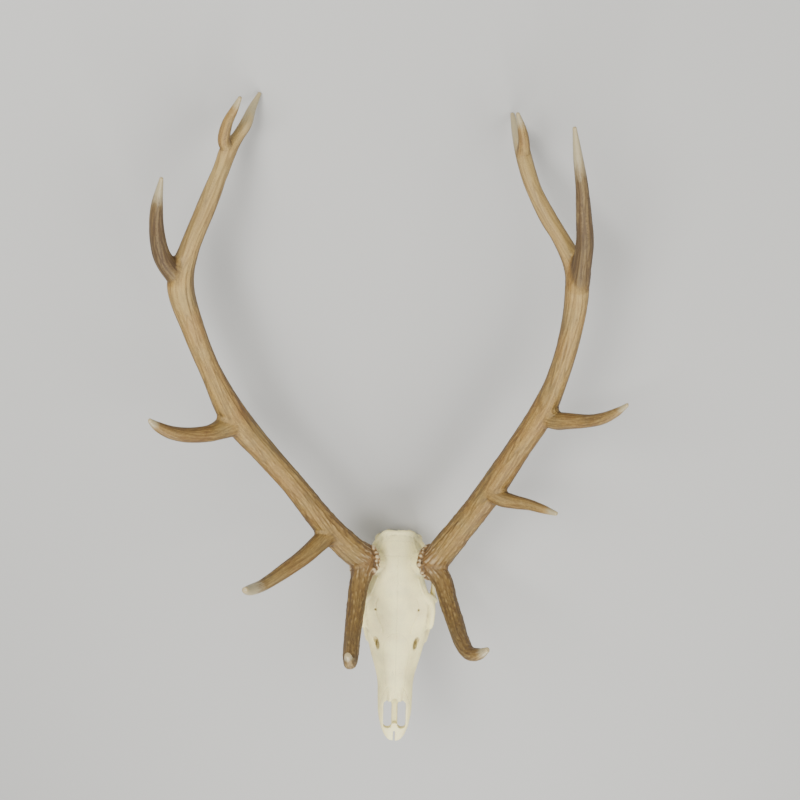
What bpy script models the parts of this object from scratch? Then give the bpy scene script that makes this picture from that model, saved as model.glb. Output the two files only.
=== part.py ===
"""An elk skull with its antlers, lying tipped back on its occiput and the two rear antler tips.

The shapes are laid out in the skull's own frame: X towards the animal's left, Y from the nose
towards the back of the head, Z up from the chewing face of the cheek teeth. One empty then tips
the whole skull back onto a level surface. Metres, +Z up.
"""

import math
import random

import bmesh
import bpy
from mathutils import Matrix, Vector

# How the skull lies: the nose is lifted by REST_TILT, and it leans sideways by REST_ROLL.
REST_TILT = math.radians(33.17)
REST_ROLL = math.radians(-0.29)

# Room left between two pieces that touch.
GAP = 0.0003

# Triangles that the faceted pieces are brought down to.
SKULL_TRIANGLES = 3900
ANTLER_TRIANGLES = 1750

# Grain of the fused shapes before they are brought down.
SKULL_GRAIN = 0.0026
HOLLOW_GRAIN = 0.0021
ANTLER_GRAIN = 0.0032

# Rounds of smoothing that soften the edges between the joined shapes.
SKULL_SOFTENING = 4
HOLLOW_SOFTENING = 1
LAST_SOFTENING = 2
ANTLER_SOFTENING = 3

# The animal's two sides, by the sign of X.
SIDES = {"right": -1, "left": 1}

# Antler seat: centre of the burr, the way that the pedicle points, and the burr's size.
BURR_CENTRE = Vector((0.069, 0.001, 0.166))
BURR_AXIS = Vector((0.61, 0.18, 0.77)).normalized()
BURR_RADIUS = 0.0325
BURR_THICKNESS = 0.0075
BURR_RISE = 0.006

# The burr's pearls: how many, how far they sit from even spacing, how far out and up they sit,
# their half size, and the seed of each side's draw.
PEARLS = 21
PEARL_DRIFT = 0.25
PEARL_REACH = (-0.001, 0.003)
PEARL_RISE = (-0.002, 0.002)
PEARL_SIZE = (0.0052, 0.0075)
PEARL_SEEDS = {"right": 11, "left": 23}

# Where the photograph of the antlers was taken from, in the skull's frame: straight above
# VIEW_X and VIEW_Y, with the picture turned by VIEW_TURN about its middle pixel.
VIEW_X = -0.0047
VIEW_Y = 0.349
VIEW_HEIGHT = 3.1
VIEW_TURN = math.radians(1.4)
FOCAL_PIXELS = 1364
MIDDLE_PIXEL = 400

# Both antlers leave the skull through these stations: x, y, z and radius in millimetres, on the
# animal's left.
BEAM_SEAT = [(56, -2, 150, 29), (69, 1, 166, 30), (83, 14, 183, 30.5)]
BROW_SEAT = [(72, -4, 178, 25.5)]

# Beams and tines beyond the seat. Each station is read by eye from the photograph as a pixel
# column and row, with its height above the chewing face and its radius in millimetres.
ANTLERS = {
    "right": {
        "beam": [
            (351, 549, 201, 29.5), (326, 525, 240, 27.5), (295, 486.5, 300, 24.5), (265, 452.5, 350, 25),
            (234, 416, 405, 28.5), (212, 374, 465, 21.5), (194, 331, 520, 22), (180.5, 285, 570, 25.5),
            (190, 247, 592, 19), (207, 205, 605, 18), (221, 170, 606, 15.5), (228.5, 150, 604, 16),
            (237.5, 137, 600, 11.5), (246, 123.5, 600, 11.5), (252, 108.5, 596, 8), (260, 92.5, 588, 3.5),
        ],
        "brow": [
            (359, 584, 205, 21.5), (356, 605, 240, 19.5), (353, 630, 290, 18), (351, 652, 345, 17),
            (350, 663, 385, 13.5), (347.5, 655, 425, 6),
        ],
        "bez": [
            (331, 530, 230, 25), (321, 541, 255, 20), (303.5, 557, 295, 17.5), (283.5, 571.5, 340, 15.5),
            (263, 585, 385, 12.5), (250, 590, 420, 11), (244.5, 590, 445, 6),
        ],
        "trez": [
            (230, 424, 405, 27.5), (218, 430.5, 430, 19.5), (206, 434, 455, 16.5), (187, 435, 495, 15),
            (171, 432.5, 530, 13), (157.5, 426.5, 560, 9.5), (149, 420, 585, 4),
        ],
        "royal": [
            (178, 277, 575, 21.5), (166, 263, 610, 18), (160, 250, 645, 16), (156.5, 228, 700, 13.5),
            (157, 205, 755, 10.5), (161.5, 178, 815, 3.5),
        ],
        "surroyal": [
            (228.5, 150, 604, 12.5), (224, 140, 625, 12), (227, 124, 655, 10), (234, 110, 680, 7.5),
            (240.5, 97, 700, 3.5),
        ],
    },
    "left": {
        "beam": [
            (448.5, 543.5, 201, 30), (471, 516, 240, 28), (493, 486.5, 290, 28), (517.5, 450, 345, 25.5),
            (542, 412.5, 400, 25.5), (559, 374, 460, 21.5), (571.5, 329.5, 520, 21.5), (577, 290, 565, 23),
            (574, 265, 585, 20), (560.5, 238, 600, 16), (548, 217.5, 606, 16), (535.5, 193, 606, 14.5),
            (528, 172, 602, 15), (522, 149, 592, 14.5), (516, 130, 580, 9), (512, 113, 569, 3.5),
        ],
        "brow": [
            (443, 582, 205, 21.5), (448.5, 602, 240, 19.5), (455.5, 623, 285, 18.5), (461.5, 641, 335, 17),
            (469, 653, 375, 14.5), (479, 654, 405, 12), (488, 649.5, 430, 5),
        ],
        "bez": [
            (490, 491, 290, 21.5), (502, 498.5, 310, 17.5), (515, 502, 330, 14.5), (530, 505, 355, 11.5),
            (544, 509.5, 380, 9), (557, 514, 400, 4.5),
        ],
        "trez": [
            (546, 416, 395, 22.5), (557, 420.5, 420, 19), (568, 421, 445, 16.5), (588, 421, 485, 13),
            (602.5, 418.5, 520, 11.5), (616, 412.5, 555, 8.5), (628, 404.5, 590, 3.5),
        ],
        "royal": [
            (579, 285, 570, 20.5), (582.5, 262, 615, 18), (585, 240, 655, 16.5), (584, 218, 700, 14.5),
            (582, 187, 755, 11.5), (578, 157, 800, 8.5), (574.5, 127, 840, 3.5),
        ],
        "surroyal": [
            (523.5, 155, 598, 13), (524, 141, 620, 10.5), (521.5, 127, 645, 8), (517.5, 113, 668, 3.5),
        ],
    },
}

# Where each antler is parted: the branch, and how far along it from its first station.
FORK_CUTS = {
    "right": {"brow": 0.052, "bez": 0.048, "trez": 0.050, "royal": 0.050, "surroyal": 0.034,
              "middle": 0.530, "top": 0.790},
    "left": {"brow": 0.052, "bez": 0.046, "trez": 0.046, "royal": 0.080, "surroyal": 0.034,
             "middle": 0.520, "top": 0.790},
}

# How far past its cut a tine or a stretch of the beam is looked for.
PAST_TINE_CUT = 0.03
PAST_BEAM_CUT = 0.04

# Cross-sections of the skull from the nose back: y, then x and z round one side, from the
# middle of the roof to the middle of the palate or the skull's base.
SKULL_SECTIONS = [
    (-0.422, [(0, 24), (5, 24), (9, 23), (12, 21), (13, 19),
              (12, 16), (9, 14), (6, 13), (3, 13), (0, 13)]),
    (-0.404, [(0, 31), (9, 31), (18, 29), (24, 26), (26, 21),
              (24, 16), (19, 13), (11, 12), (6, 12), (0, 12)]),
    (-0.375, [(0, 44), (12, 44), (22, 42), (31, 36), (36, 27),
              (33, 19), (27, 14), (18, 13), (9, 14), (0, 14)]),
    (-0.345, [(0, 56), (14, 56), (26, 54), (34, 47), (39, 35),
              (38, 24), (32, 17), (24, 16), (12, 17), (0, 18)]),
    (-0.322, [(0, 80), (14, 80), (24, 75), (33, 62), (39, 46),
              (39, 30), (33, 20), (25, 19), (12, 20), (0, 21)]),
    (-0.300, [(0, 94), (12, 93), (22, 88), (32, 74), (39, 54),
              (39, 36), (34, 23), (26, 22), (13, 23), (0, 24)]),
    (-0.268, [(0, 99), (13, 98), (24, 92), (33, 78), (40, 60),
              (41, 42), (38, 27), (27, 26), (14, 28), (0, 29)]),
    (-0.235, [(0, 105), (15, 104), (26, 98), (36, 85), (52, 66),
              (50, 46), (44, 25), (28, 24), (15, 31), (0, 33)]),
    (-0.200, [(0, 114), (19, 113), (31, 107), (43, 93), (63, 77),
              (58, 52), (53, 24), (31, 23), (17, 32), (0, 35)]),
    (-0.165, [(0, 125), (23, 124), (39, 119), (53, 107), (69, 90),
              (61, 58), (57, 24), (33, 23), (18, 32), (0, 36)]),
    (-0.135, [(0, 134), (27, 134), (49, 131), (67, 121), (75, 102),
              (54, 62), (56, 26), (34, 24), (19, 33), (0, 37)]),
    (-0.105, [(0, 141), (27, 142), (54, 143), (76, 138), (80, 126),
              (42, 84), (33, 44), (26, 36), (15, 40), (0, 42)]),
    (-0.075, [(0, 145), (26, 147), (52, 146), (71, 140), (72, 128),
              (43, 96), (27, 64), (18, 54), (10, 52), (0, 51)]),
    (-0.040, [(0, 158), (24, 158), (43, 155), (57, 145), (58, 126),
              (47, 94), (31, 64), (19, 53), (10, 50), (0, 49)]),
    (-0.005, [(0, 161), (22, 160), (38, 152), (48, 138), (52, 114),
              (47, 84), (36, 62), (21, 52), (10, 48), (0, 47)]),
    (0.032, [(0, 149), (19, 148), (33, 141), (44, 125), (51, 102),
             (49, 78), (38, 60), (22, 51), (10, 48), (0, 47)]),
    (0.047, [(0, 142), (21, 141), (33, 135), (44, 116), (47, 95),
             (43, 74), (32, 59), (18, 52), (9, 50), (0, 50)]),
    (0.061, [(0, 137), (21, 137), (31, 131), (40, 113), (42, 100),
             (35, 88), (25, 80), (16, 77), (8, 76), (0, 76)]),
]

# Round bars of the skull, on one side: x, y, z and radius along each.
BARS = {
    "cheek arch": [
        (0.058, -0.185, 0.068, 0.010), (0.067, -0.155, 0.070, 0.009), (0.076, -0.125, 0.070, 0.008),
        (0.079, -0.095, 0.070, 0.0065), (0.077, -0.060, 0.074, 0.006), (0.073, -0.030, 0.077, 0.0065),
        (0.060, -0.006, 0.082, 0.009), (0.046, 0.006, 0.084, 0.010),
    ],
    "bar behind the eye": [
        (0.058, -0.072, 0.138, 0.009), (0.074, -0.082, 0.131, 0.008), (0.083, -0.088, 0.114, 0.006),
        (0.0825, -0.087, 0.094, 0.0055), (0.079, -0.084, 0.076, 0.007),
    ],
    "brow over the eye": [
        (0.058, -0.072, 0.139, 0.008), (0.074, -0.092, 0.136, 0.0075), (0.0765, -0.116, 0.133, 0.007),
        (0.0745, -0.140, 0.118, 0.0065), (0.071, -0.149, 0.100, 0.006), (0.071, -0.145, 0.080, 0.007),
    ],
    "pedicle": [
        (0.040, -0.006, 0.130, 0.026), (0.054, -0.003, 0.148, 0.0245), (0.0635, 0.0, 0.159, 0.0235),
        (0.076, 0.003, 0.175, 0.0235),
    ],
    "crest at the back": [
        (0.0, 0.059, 0.132, 0.0065), (0.020, 0.060, 0.132, 0.0065), (0.031, 0.058, 0.130, 0.0065),
        (0.041, 0.045, 0.118, 0.006), (0.0515, 0.032, 0.102, 0.0065), (0.0535, 0.025, 0.086, 0.0065),
        (0.049, 0.028, 0.070, 0.0065),
    ],
    "process beside the condyle": [
        (0.044, 0.036, 0.072, 0.009), (0.045, 0.042, 0.055, 0.0075), (0.043, 0.043, 0.036, 0.006),
        (0.040, 0.040, 0.018, 0.0045),
    ],
    "ear canal": [(0.036, 0.010, 0.056, 0.008), (0.047, 0.013, 0.066, 0.0075), (0.055, 0.014, 0.074, 0.007)],
    "plate beside the throat": [
        (0.024, -0.122, 0.042, 0.006), (0.022, -0.104, 0.038, 0.0045), (0.021, -0.086, 0.036, 0.004),
        (0.020, -0.072, 0.042, 0.004), (0.019, -0.058, 0.052, 0.0055),
    ],
    "nasal bone": [
        (0.009, -0.288, 0.0905, 0.006), (0.010, -0.306, 0.0885, 0.005), (0.0115, -0.324, 0.0855, 0.003),
    ],
}

# Rounded lumps of the skull, on one side: centre and half sizes.
LUMPS = {
    "condyle": ((0.0225, 0.047, 0.060), (0.0125, 0.0135, 0.018)),
    "ear capsule": ((0.030, 0.004, 0.046), (0.011, 0.017, 0.012)),
    "jaw joint": ((0.056, -0.012, 0.077), (0.017, 0.014, 0.008)),
    "mastoid": ((0.046, 0.026, 0.080), (0.010, 0.012, 0.020)),
    "back of the tooth row": ((0.0445, -0.122, 0.040), (0.0145, 0.018, 0.018)),
}

# Hollows cut into the skull, on one side: centre, half sizes and a turn about Z in degrees.
HOLLOWS = {
    "eye socket": ((0.072, -0.115, 0.100), (0.030, 0.0285, 0.0270), 0),
    "depth of the eye socket": ((0.050, -0.100, 0.091), (0.024, 0.026, 0.021), 0),
    "pit before the eye": ((0.077, -0.166, 0.102), (0.015, 0.019, 0.012), -18),
    "hollow of the cheek": ((0.066, -0.194, 0.115), (0.023, 0.027, 0.020), -22),
    "gap beside the nasal bone": ((0.042, -0.187, 0.104), (0.0055, 0.021, 0.020), -6),
    "temple": ((0.0675, -0.050, 0.098), (0.0085, 0.030, 0.050), 6),
    "hole over the eye": ((0.047, -0.106, 0.143), (0.003, 0.003, 0.016), 0),
    "hole below the eye": ((0.047, -0.240, 0.062), (0.006, 0.010, 0.004), 20),
}

# Hollows on the middle plane: centre and half sizes.
MIDDLE_HOLLOWS = {
    "nasal cavity": ((0.0, -0.268, 0.061), (0.025, 0.100, 0.026)),
    "deep nasal cavity": ((0.0, -0.205, 0.072), (0.034, 0.060, 0.026)),
    "throat opening": ((0.0, -0.094, 0.046), (0.0165, 0.036, 0.014)),
    "brain cavity": ((0.0, -0.004, 0.102), (0.037, 0.042, 0.037)),
    "hole for the spinal cord": ((0.0, 0.046, 0.069), (0.0165, 0.034, 0.0155)),
}

# Openings of the muzzle with straight sides and rounded ends, looking down: centre, half sizes
# and the radius of the corners.
MUZZLE_OPENINGS = [
    ((0.0, -0.3555, 0.086), (0.0255, 0.0355, 0.060), 0.011),
    ((0.0160, -0.3590, 0.010), (0.0093, 0.0295, 0.040), 0.008),
    ((-0.0160, -0.3590, 0.010), (0.0093, 0.0295, 0.040), 0.008),
    ((0.0, -0.4110, 0.018), (0.0024, 0.0165, 0.030), 0.0015),
]

# Cheek teeth from the front: name, length along the row, crown width, height of the chewing face.
TEETH = [
    ("premolar_1", 0.0165, 0.0150, 0.0015),
    ("premolar_2", 0.0180, 0.0180, 0.0010),
    ("premolar_3", 0.0180, 0.0200, 0.0006),
    ("molar_1", 0.0235, 0.0215, 0.0006),
    ("molar_2", 0.0270, 0.0225, 0.0000),
    ("molar_3", 0.0265, 0.0215, 0.0008),
]
TOOTH_ROW_FRONT = Vector((0.0350, -0.242, 0.0))
TOOTH_ROW_BACK = Vector((0.0445, -0.110, 0.0))
TOOTH_ROOT = 0.036

# A tooth's shape: the valleys of its chewing face, its length and width at the root as shares of
# the crown's, its waist between the lobes, its length along the outer edges, and where the lobes
# and the sides lie, as shares of its length and width from the middle.
TOOTH_VALLEY = 0.0026
ROOT_LENGTH = 0.84
ROOT_WIDTH = 0.80
CROWN_WAIST = 0.86
CROWN_END = 0.94
LOBE_FROM = 0.1
LOBE_TO = 0.4
SIDE_FROM = 0.4

# The groove that holds the teeth: room beside them, and where it starts below the jaw.
TRENCH_ROOM = 0.0008
TRENCH_MOUTH = -0.010

# Half sizes of the block that trims pedicle and antler to the plane where they meet.
SEAT_BLOCK = (0.055, 0.055, 0.025)

# The slab that parts a branch reaches this many radii and this much more to each side.
SLAB_REACH = 1.55
SLAB_MARGIN = 0.004

BONE = ("bleached_bone", (0.74, 0.71, 0.58, 1.0), 0.62)
ANTLER = ("antler", (0.33, 0.18, 0.075, 1.0), 0.58)
ENAMEL = ("tooth_enamel", (0.66, 0.60, 0.44, 1.0), 0.38)


def clear_scene():
    for old in list(bpy.data.objects):
        bpy.data.objects.remove(old, do_unlink=True)


def material(name, colour, roughness):
    made = bpy.data.materials.new(name)
    made.use_nodes = True
    shader = made.node_tree.nodes["Principled BSDF"]
    shader.inputs["Base Color"].default_value = colour
    shader.inputs["Roughness"].default_value = roughness
    shader.inputs["Metallic"].default_value = 0.0
    return made


def object_from(bm, name):
    mesh = bpy.data.meshes.new(name)
    bm.to_mesh(mesh)
    bm.free()
    made = bpy.data.objects.new(name, mesh)
    bpy.context.scene.collection.objects.link(made)
    return made


def settle_modifiers(obj):
    """Turns an object and its modifiers into one plain mesh."""
    bpy.context.view_layer.update()
    graph = bpy.context.evaluated_depsgraph_get()
    mesh = bpy.data.meshes.new_from_object(obj.evaluated_get(graph))
    name = obj.name
    bpy.data.objects.remove(obj, do_unlink=True)
    made = bpy.data.objects.new(name, mesh)
    bpy.context.scene.collection.objects.link(made)
    return made


def joined(objects, name):
    bm = bmesh.new()
    for obj in objects:
        bm.from_mesh(obj.data)
        bpy.data.objects.remove(obj, do_unlink=True)
    return object_from(bm, name)


def fused(obj, grain, rounds):
    """One closed skin round everything in the object, with its edges softened."""
    remesh = obj.modifiers.new("fuse", "REMESH")
    remesh.mode = "VOXEL"
    remesh.voxel_size = grain
    soften = obj.modifiers.new("soften", "SMOOTH")
    soften.factor = 0.5
    soften.iterations = rounds
    return settle_modifiers(obj)


def brought_down(obj, triangles):
    obj.data.calc_loop_triangles()
    reduce = obj.modifiers.new("reduce", "DECIMATE")
    reduce.ratio = triangles / len(obj.data.loop_triangles)
    obj.modifiers.new("triangles", "TRIANGULATE")
    return settle_modifiers(obj)


def cut_away(obj, cutter):
    """The object less the cutter, which is used up."""
    cutter.hide_render = True
    cutter.display_type = "WIRE"
    cut = obj.modifiers.new("cut", "BOOLEAN")
    cut.operation = "DIFFERENCE"
    cut.object = cutter
    made = settle_modifiers(obj)
    bpy.data.objects.remove(cutter, do_unlink=True)
    return made


def smooth_points(stations, step=0.006):
    """Points on one smooth curve through the stations, which carry a radius as fourth value."""
    values = [Vector(station) for station in stations]
    ends = [values[0] * 2 - values[1]] + values + [values[-1] * 2 - values[-2]]
    points = []
    for before, start, end, after in zip(ends, ends[1:], ends[2:], ends[3:]):
        count = max(2, math.ceil((end - start).length / step))
        for i in range(count):
            t = i / count
            slope_in, slope_out = (end - before) / 2, (after - start) / 2
            points.append(
                start * (2 * t**3 - 3 * t**2 + 1)
                + slope_in * (t**3 - 2 * t**2 + t)
                + end * (3 * t**2 - 2 * t**3)
                + slope_out * (t**3 - t**2)
            )
    points.append(values[-1])
    return points


def bar(stations, name, mirrored=False):
    """A round bar through the stations."""
    curve = bpy.data.curves.new(name, "CURVE")
    curve.dimensions = "3D"
    curve.bevel_depth = 1.0
    curve.bevel_resolution = 6
    curve.use_fill_caps = True
    points = smooth_points(stations)
    spline = curve.splines.new("POLY")
    spline.points.add(len(points) - 1)
    for place, point in zip(spline.points, points):
        place.co = (-point[0] if mirrored else point[0], point[1], point[2], 1.0)
        place.radius = point[3]
    made = bpy.data.objects.new(name, curve)
    bpy.context.scene.collection.objects.link(made)
    return settle_modifiers(made)


def lump(centre, half_sizes, name, turn=0.0, mirrored=False):
    bm = bmesh.new()
    bmesh.ops.create_icosphere(bm, subdivisions=3, radius=1.0)
    side = -1 if mirrored else 1
    place = Matrix.Translation((side * centre[0], centre[1], centre[2]))
    twist = Matrix.Rotation(math.radians(side * turn), 4, "Z")
    size = Matrix.Diagonal((*half_sizes, 1.0))
    bm.transform(place @ twist @ size)
    return object_from(bm, name)


def block(half_sizes, matrix, name):
    bm = bmesh.new()
    bmesh.ops.create_cube(bm, size=2.0)
    bm.transform(matrix @ Matrix.Diagonal((*half_sizes, 1.0)))
    return object_from(bm, name)


def rounded_opening(centre, half_sizes, corner):
    """A block with its upright edges rounded."""
    bm = bmesh.new()
    bmesh.ops.create_cube(bm, size=2.0)
    bm.transform(Matrix.Translation(centre) @ Matrix.Diagonal((*half_sizes, 1.0)))
    upright = [e for e in bm.edges if abs(e.verts[0].co.z - e.verts[1].co.z) > half_sizes[2]]
    bmesh.ops.bevel(
        bm, geom=upright, offset=corner, offset_type="OFFSET", segments=4, profile=0.5, affect="EDGES"
    )
    return object_from(bm, "opening")


def facing(axis, centre):
    """Turns +Z to the axis and moves the origin to the centre."""
    return Matrix.Translation(centre) @ axis.to_track_quat("Z", "Y").to_matrix().to_4x4()


def skin_over(bm, rings):
    """Faces from each ring of points to the next, and one over each end."""
    for front, back in zip(rings, rings[1:]):
        for a, b, c, d in zip(front, front[1:] + front[:1], back[1:] + back[:1], back):
            bm.faces.new((a, b, c, d))
    for ring in (rings[0], rings[-1]):
        bm.faces.new(ring)
    bmesh.ops.recalc_face_normals(bm, faces=bm.faces)


def skull_body():
    """The long box of face, roof and braincase, drawn over the cross-sections."""
    bm = bmesh.new()
    rings = []
    for y, half in SKULL_SECTIONS:
        right = [bm.verts.new((x / 1000, y, z / 1000)) for x, z in half]
        left = [bm.verts.new((-x / 1000, y, z / 1000)) for x, z in half[1:-1]]
        rings.append(right + left[::-1])
    skin_over(bm, rings)
    body = object_from(bm, "skull_body")
    rounding = body.modifiers.new("rounding", "SUBSURF")
    rounding.levels = 2
    rounding.render_levels = 2
    return settle_modifiers(body)


def burr_plane(side, shift):
    """The matrix of the plane where antler and pedicle meet, moved along the pedicle."""
    axis = Vector((side * BURR_AXIS.x, BURR_AXIS.y, BURR_AXIS.z))
    centre = Vector((side * BURR_CENTRE.x, BURR_CENTRE.y, BURR_CENTRE.z))
    return facing(axis, centre + axis * shift)


def tooth_places():
    """Middle, direction and size of each tooth in the left row."""
    along = (TOOTH_ROW_BACK - TOOTH_ROW_FRONT).normalized()
    used = sum(length for _, length, _, _ in TEETH)
    spare = ((TOOTH_ROW_BACK - TOOTH_ROW_FRONT).length - used) / (len(TEETH) - 1)
    start = 0.0
    for name, length, width, low in TEETH:
        yield name, TOOTH_ROW_FRONT + along * (start + length / 2), along, length, width, low
        start += length + spare


def socket_trench(mirrored):
    """The groove in the jaw that holds the roots of one row of teeth."""
    places = list(tooth_places())
    bm = bmesh.new()
    rings = []
    for i, (_, middle, along, length, width, _) in enumerate(places):
        end = (i == len(places) - 1) - (i == 0)
        centre = middle + along * end * (length / 2 + GAP)
        half = Vector((-along.y, along.x, 0.0)) * (width / 2 + TRENCH_ROOM)
        sides = [centre - half, centre + half]
        ring = [bm.verts.new((p.x, p.y, TRENCH_MOUTH)) for p in sides]
        ring += [bm.verts.new((p.x, p.y, TOOTH_ROOT + GAP)) for p in reversed(sides)]
        rings.append(ring)
    if mirrored:
        bm.transform(Matrix.Diagonal((-1, 1, 1, 1)))
    skin_over(bm, rings)
    return object_from(bm, "trench")


def tooth_body(place, along, length, width, low, mirrored, name):
    """One cheek tooth of two lobes, drawn in to its root, with a ridged chewing face."""
    bm = bmesh.new()
    bmesh.ops.create_grid(bm, x_segments=4, y_segments=2, size=0.5)
    crown = bmesh.ops.extrude_face_region(bm, geom=bm.faces[:])
    roof = [v for v in crown["geom"] if isinstance(v, bmesh.types.BMVert)]
    floor = [v for v in bm.verts if v not in roof]
    for v in roof:
        v.co = Vector((v.co.x * ROOT_LENGTH, v.co.y * ROOT_WIDTH, TOOTH_ROOT))
    for v in floor:
        on_lobe = LOBE_FROM < abs(v.co.x) < LOBE_TO
        at_side = abs(v.co.y) > SIDE_FROM
        v.co.x *= CROWN_END if at_side else 1.0
        v.co.y *= 1.0 if on_lobe else CROWN_WAIST
        v.co.z = low if at_side == on_lobe else low + TOOTH_VALLEY
    turn = Matrix.Rotation(math.atan2(along.y, along.x), 4, "Z")
    bm.transform(Matrix.Translation(place) @ turn @ Matrix.Diagonal((length, width, 1.0, 1.0)))
    if mirrored:
        bm.transform(Matrix.Diagonal((-1, 1, 1, 1)))
    bmesh.ops.recalc_face_normals(bm, faces=bm.faces)
    bmesh.ops.triangulate(bm, faces=bm.faces)
    return object_from(bm, name)


def make_skull():
    """Face, braincase, arches and processes in one piece, with its openings cut."""
    shapes = [skull_body()]
    for mirrored in (False, True):
        shapes += [bar(stations, name, mirrored) for name, stations in BARS.items()]
        shapes += [lump(centre, half, name, 0.0, mirrored) for name, (centre, half) in LUMPS.items()]
    skull = fused(joined(shapes, "skull"), SKULL_GRAIN, SKULL_SOFTENING)
    holes = [lump(centre, half, name) for name, (centre, half) in MIDDLE_HOLLOWS.items()]
    holes += [rounded_opening(*opening) for opening in MUZZLE_OPENINGS]
    for mirrored in (False, True):
        for name, (centre, half, turn) in HOLLOWS.items():
            holes.append(lump(centre, half, name, turn, mirrored))
    skull = cut_away(skull, fused(joined(holes, "hollows"), HOLLOW_GRAIN, HOLLOW_SOFTENING))
    skull = brought_down(fused(skull, SKULL_GRAIN, LAST_SOFTENING), SKULL_TRIANGLES)
    skull = cut_away(skull, joined([socket_trench(False), socket_trench(True)], "trenches"))
    caps = [block(SEAT_BLOCK, burr_plane(side, SEAT_BLOCK[2] - GAP), "cap") for side in SIDES.values()]
    return cut_away(skull, joined(caps, "caps"))


def burr(name):
    """The pearled ring at the antler's foot, as a list of shapes."""
    draw = random.Random(PEARL_SEEDS[name])
    plane = burr_plane(SIDES[name], BURR_RISE)
    shapes = []
    for i in range(PEARLS):
        angle = math.tau * (i + draw.uniform(-PEARL_DRIFT, PEARL_DRIFT)) / PEARLS
        reach = BURR_RADIUS + draw.uniform(*PEARL_REACH)
        place = Vector((reach * math.cos(angle), reach * math.sin(angle), draw.uniform(*PEARL_RISE)))
        size = draw.uniform(*PEARL_SIZE)
        shapes.append(lump(plane @ place, (size, size, size), "pearl"))
    bm = bmesh.new()
    bmesh.ops.create_cone(
        bm, cap_ends=True, segments=32, radius1=BURR_RADIUS, radius2=BURR_RADIUS, depth=BURR_THICKNESS
    )
    bm.transform(plane)
    shapes.append(object_from(bm, "ring"))
    return shapes


def seen_at(column, row, height, radius):
    """The place in the skull's frame of what the photograph shows at a pixel, and its radius."""
    right, down = column - MIDDLE_PIXEL, row - MIDDLE_PIXEL
    size = (VIEW_HEIGHT - height / 1000) / FOCAL_PIXELS
    across = right * math.cos(VIEW_TURN) + down * math.sin(VIEW_TURN)
    back = down * math.cos(VIEW_TURN) - right * math.sin(VIEW_TURN)
    return VIEW_X + across * size, VIEW_Y - back * size, height / 1000, radius / 1000


def branch_stations(name):
    """The stations of one antler's beam and tines, from the skull outwards."""
    branches = {}
    for branch, stations in ANTLERS[name].items():
        seat = {"beam": BEAM_SEAT, "brow": BROW_SEAT}.get(branch, [])
        branches[branch] = [
            (SIDES[name] * x / 1000, y / 1000, z / 1000, radius / 1000) for x, y, z, radius in seat
        ]
        branches[branch] += [seen_at(*station) for station in stations]
    return branches


def along_branch(points, distance):
    """The point, with its radius, at a distance along a branch, and the way the branch runs."""
    walked = 0.0
    for a, b in zip(points, points[1:]):
        step = (b.xyz - a.xyz).length
        if walked + step >= distance:
            break
        walked += step
    return a.lerp(b, (distance - walked) / step), (b.xyz - a.xyz).normalized()


def branch_slab(points, distance):
    """A thin slab across a branch, wide enough to pass through its thickest side."""
    middle, way = along_branch(points, distance)
    reach = middle[3] * SLAB_REACH + SLAB_MARGIN
    return block((reach, reach, GAP / 2), facing(way, middle.xyz), "slab")


def islands(bm):
    """The separate bodies of a mesh, as lists of faces."""
    left = set(bm.faces)
    found = []
    while left:
        grown = [left.pop()]
        for face in grown:
            for edge in face.edges:
                for other in edge.link_faces:
                    if other in left:
                        left.remove(other)
                        grown.append(other)
        found.append(grown)
    return found


def make_antler(name):
    """One antler in one skin, then parted at its main forks."""
    branches = branch_stations(name)
    cuts = FORK_CUTS[name]
    paths = {branch: smooth_points(stations) for branch, stations in branches.items()}
    shapes = [bar(stations, branch) for branch, stations in branches.items()] + burr(name)
    antler = brought_down(fused(joined(shapes, name), ANTLER_GRAIN, ANTLER_SOFTENING), ANTLER_TRIANGLES)
    foot = block(SEAT_BLOCK, burr_plane(SIDES[name], -SEAT_BLOCK[2]), "foot")
    antler = cut_away(antler, foot)
    slabs = [branch_slab(paths.get(cut, paths["beam"]), distance) for cut, distance in cuts.items()]
    antler = cut_away(antler, joined(slabs, "slabs"))
    probes = {"beam_base": along_branch(paths["beam"], cuts["middle"] - PAST_BEAM_CUT)[0]}
    for cut, distance in cuts.items():
        if cut in paths:
            probes[f"{cut}_tine"] = along_branch(paths[cut], distance + PAST_TINE_CUT)[0]
        else:
            probes[f"beam_{cut}"] = along_branch(paths["beam"], distance + PAST_BEAM_CUT)[0]
    bm = bmesh.new()
    bm.from_mesh(antler.data)
    bpy.data.objects.remove(antler, do_unlink=True)
    bodies = islands(bm)
    pieces = []
    for piece, probe in probes.items():
        nearest = min(bodies, key=lambda body: min((f.calc_center_median() - probe.xyz).length for f in body))
        keep = {face.index for face in nearest}
        copy = bm.copy()
        bmesh.ops.delete(copy, geom=[face for face in copy.faces if face.index not in keep], context="FACES")
        pieces.append(object_from(copy, f"{name}_{piece}"))
    bm.free()
    return pieces


def make_teeth():
    teeth = []
    for side_name, side in SIDES.items():
        for name, place, along, length, width, low in tooth_places():
            teeth.append(tooth_body(place, along, length, width, low, side < 0, f"{side_name}_{name}"))
    return teeth


def finish_piece(obj, made_of, rest):
    obj.data.materials.clear()
    obj.data.materials.append(made_of)
    obj.data.shade_smooth()
    obj.data.set_sharp_from_angle(angle=math.radians(60))
    obj.parent = rest


def lay_down(rest, pieces):
    """Tips the skull back, and puts the middle of its footprint at the origin."""
    rest.rotation_euler = (-REST_TILT, REST_ROLL, 0.0)
    turn = rest.rotation_euler.to_matrix()
    points = [turn @ v.co for piece in pieces for v in piece.data.vertices]
    low = [min(p[i] for p in points) for i in range(3)]
    high = [max(p[i] for p in points) for i in range(3)]
    rest.location = (-(low[0] + high[0]) / 2, -(low[1] + high[1]) / 2, -low[2])


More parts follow.
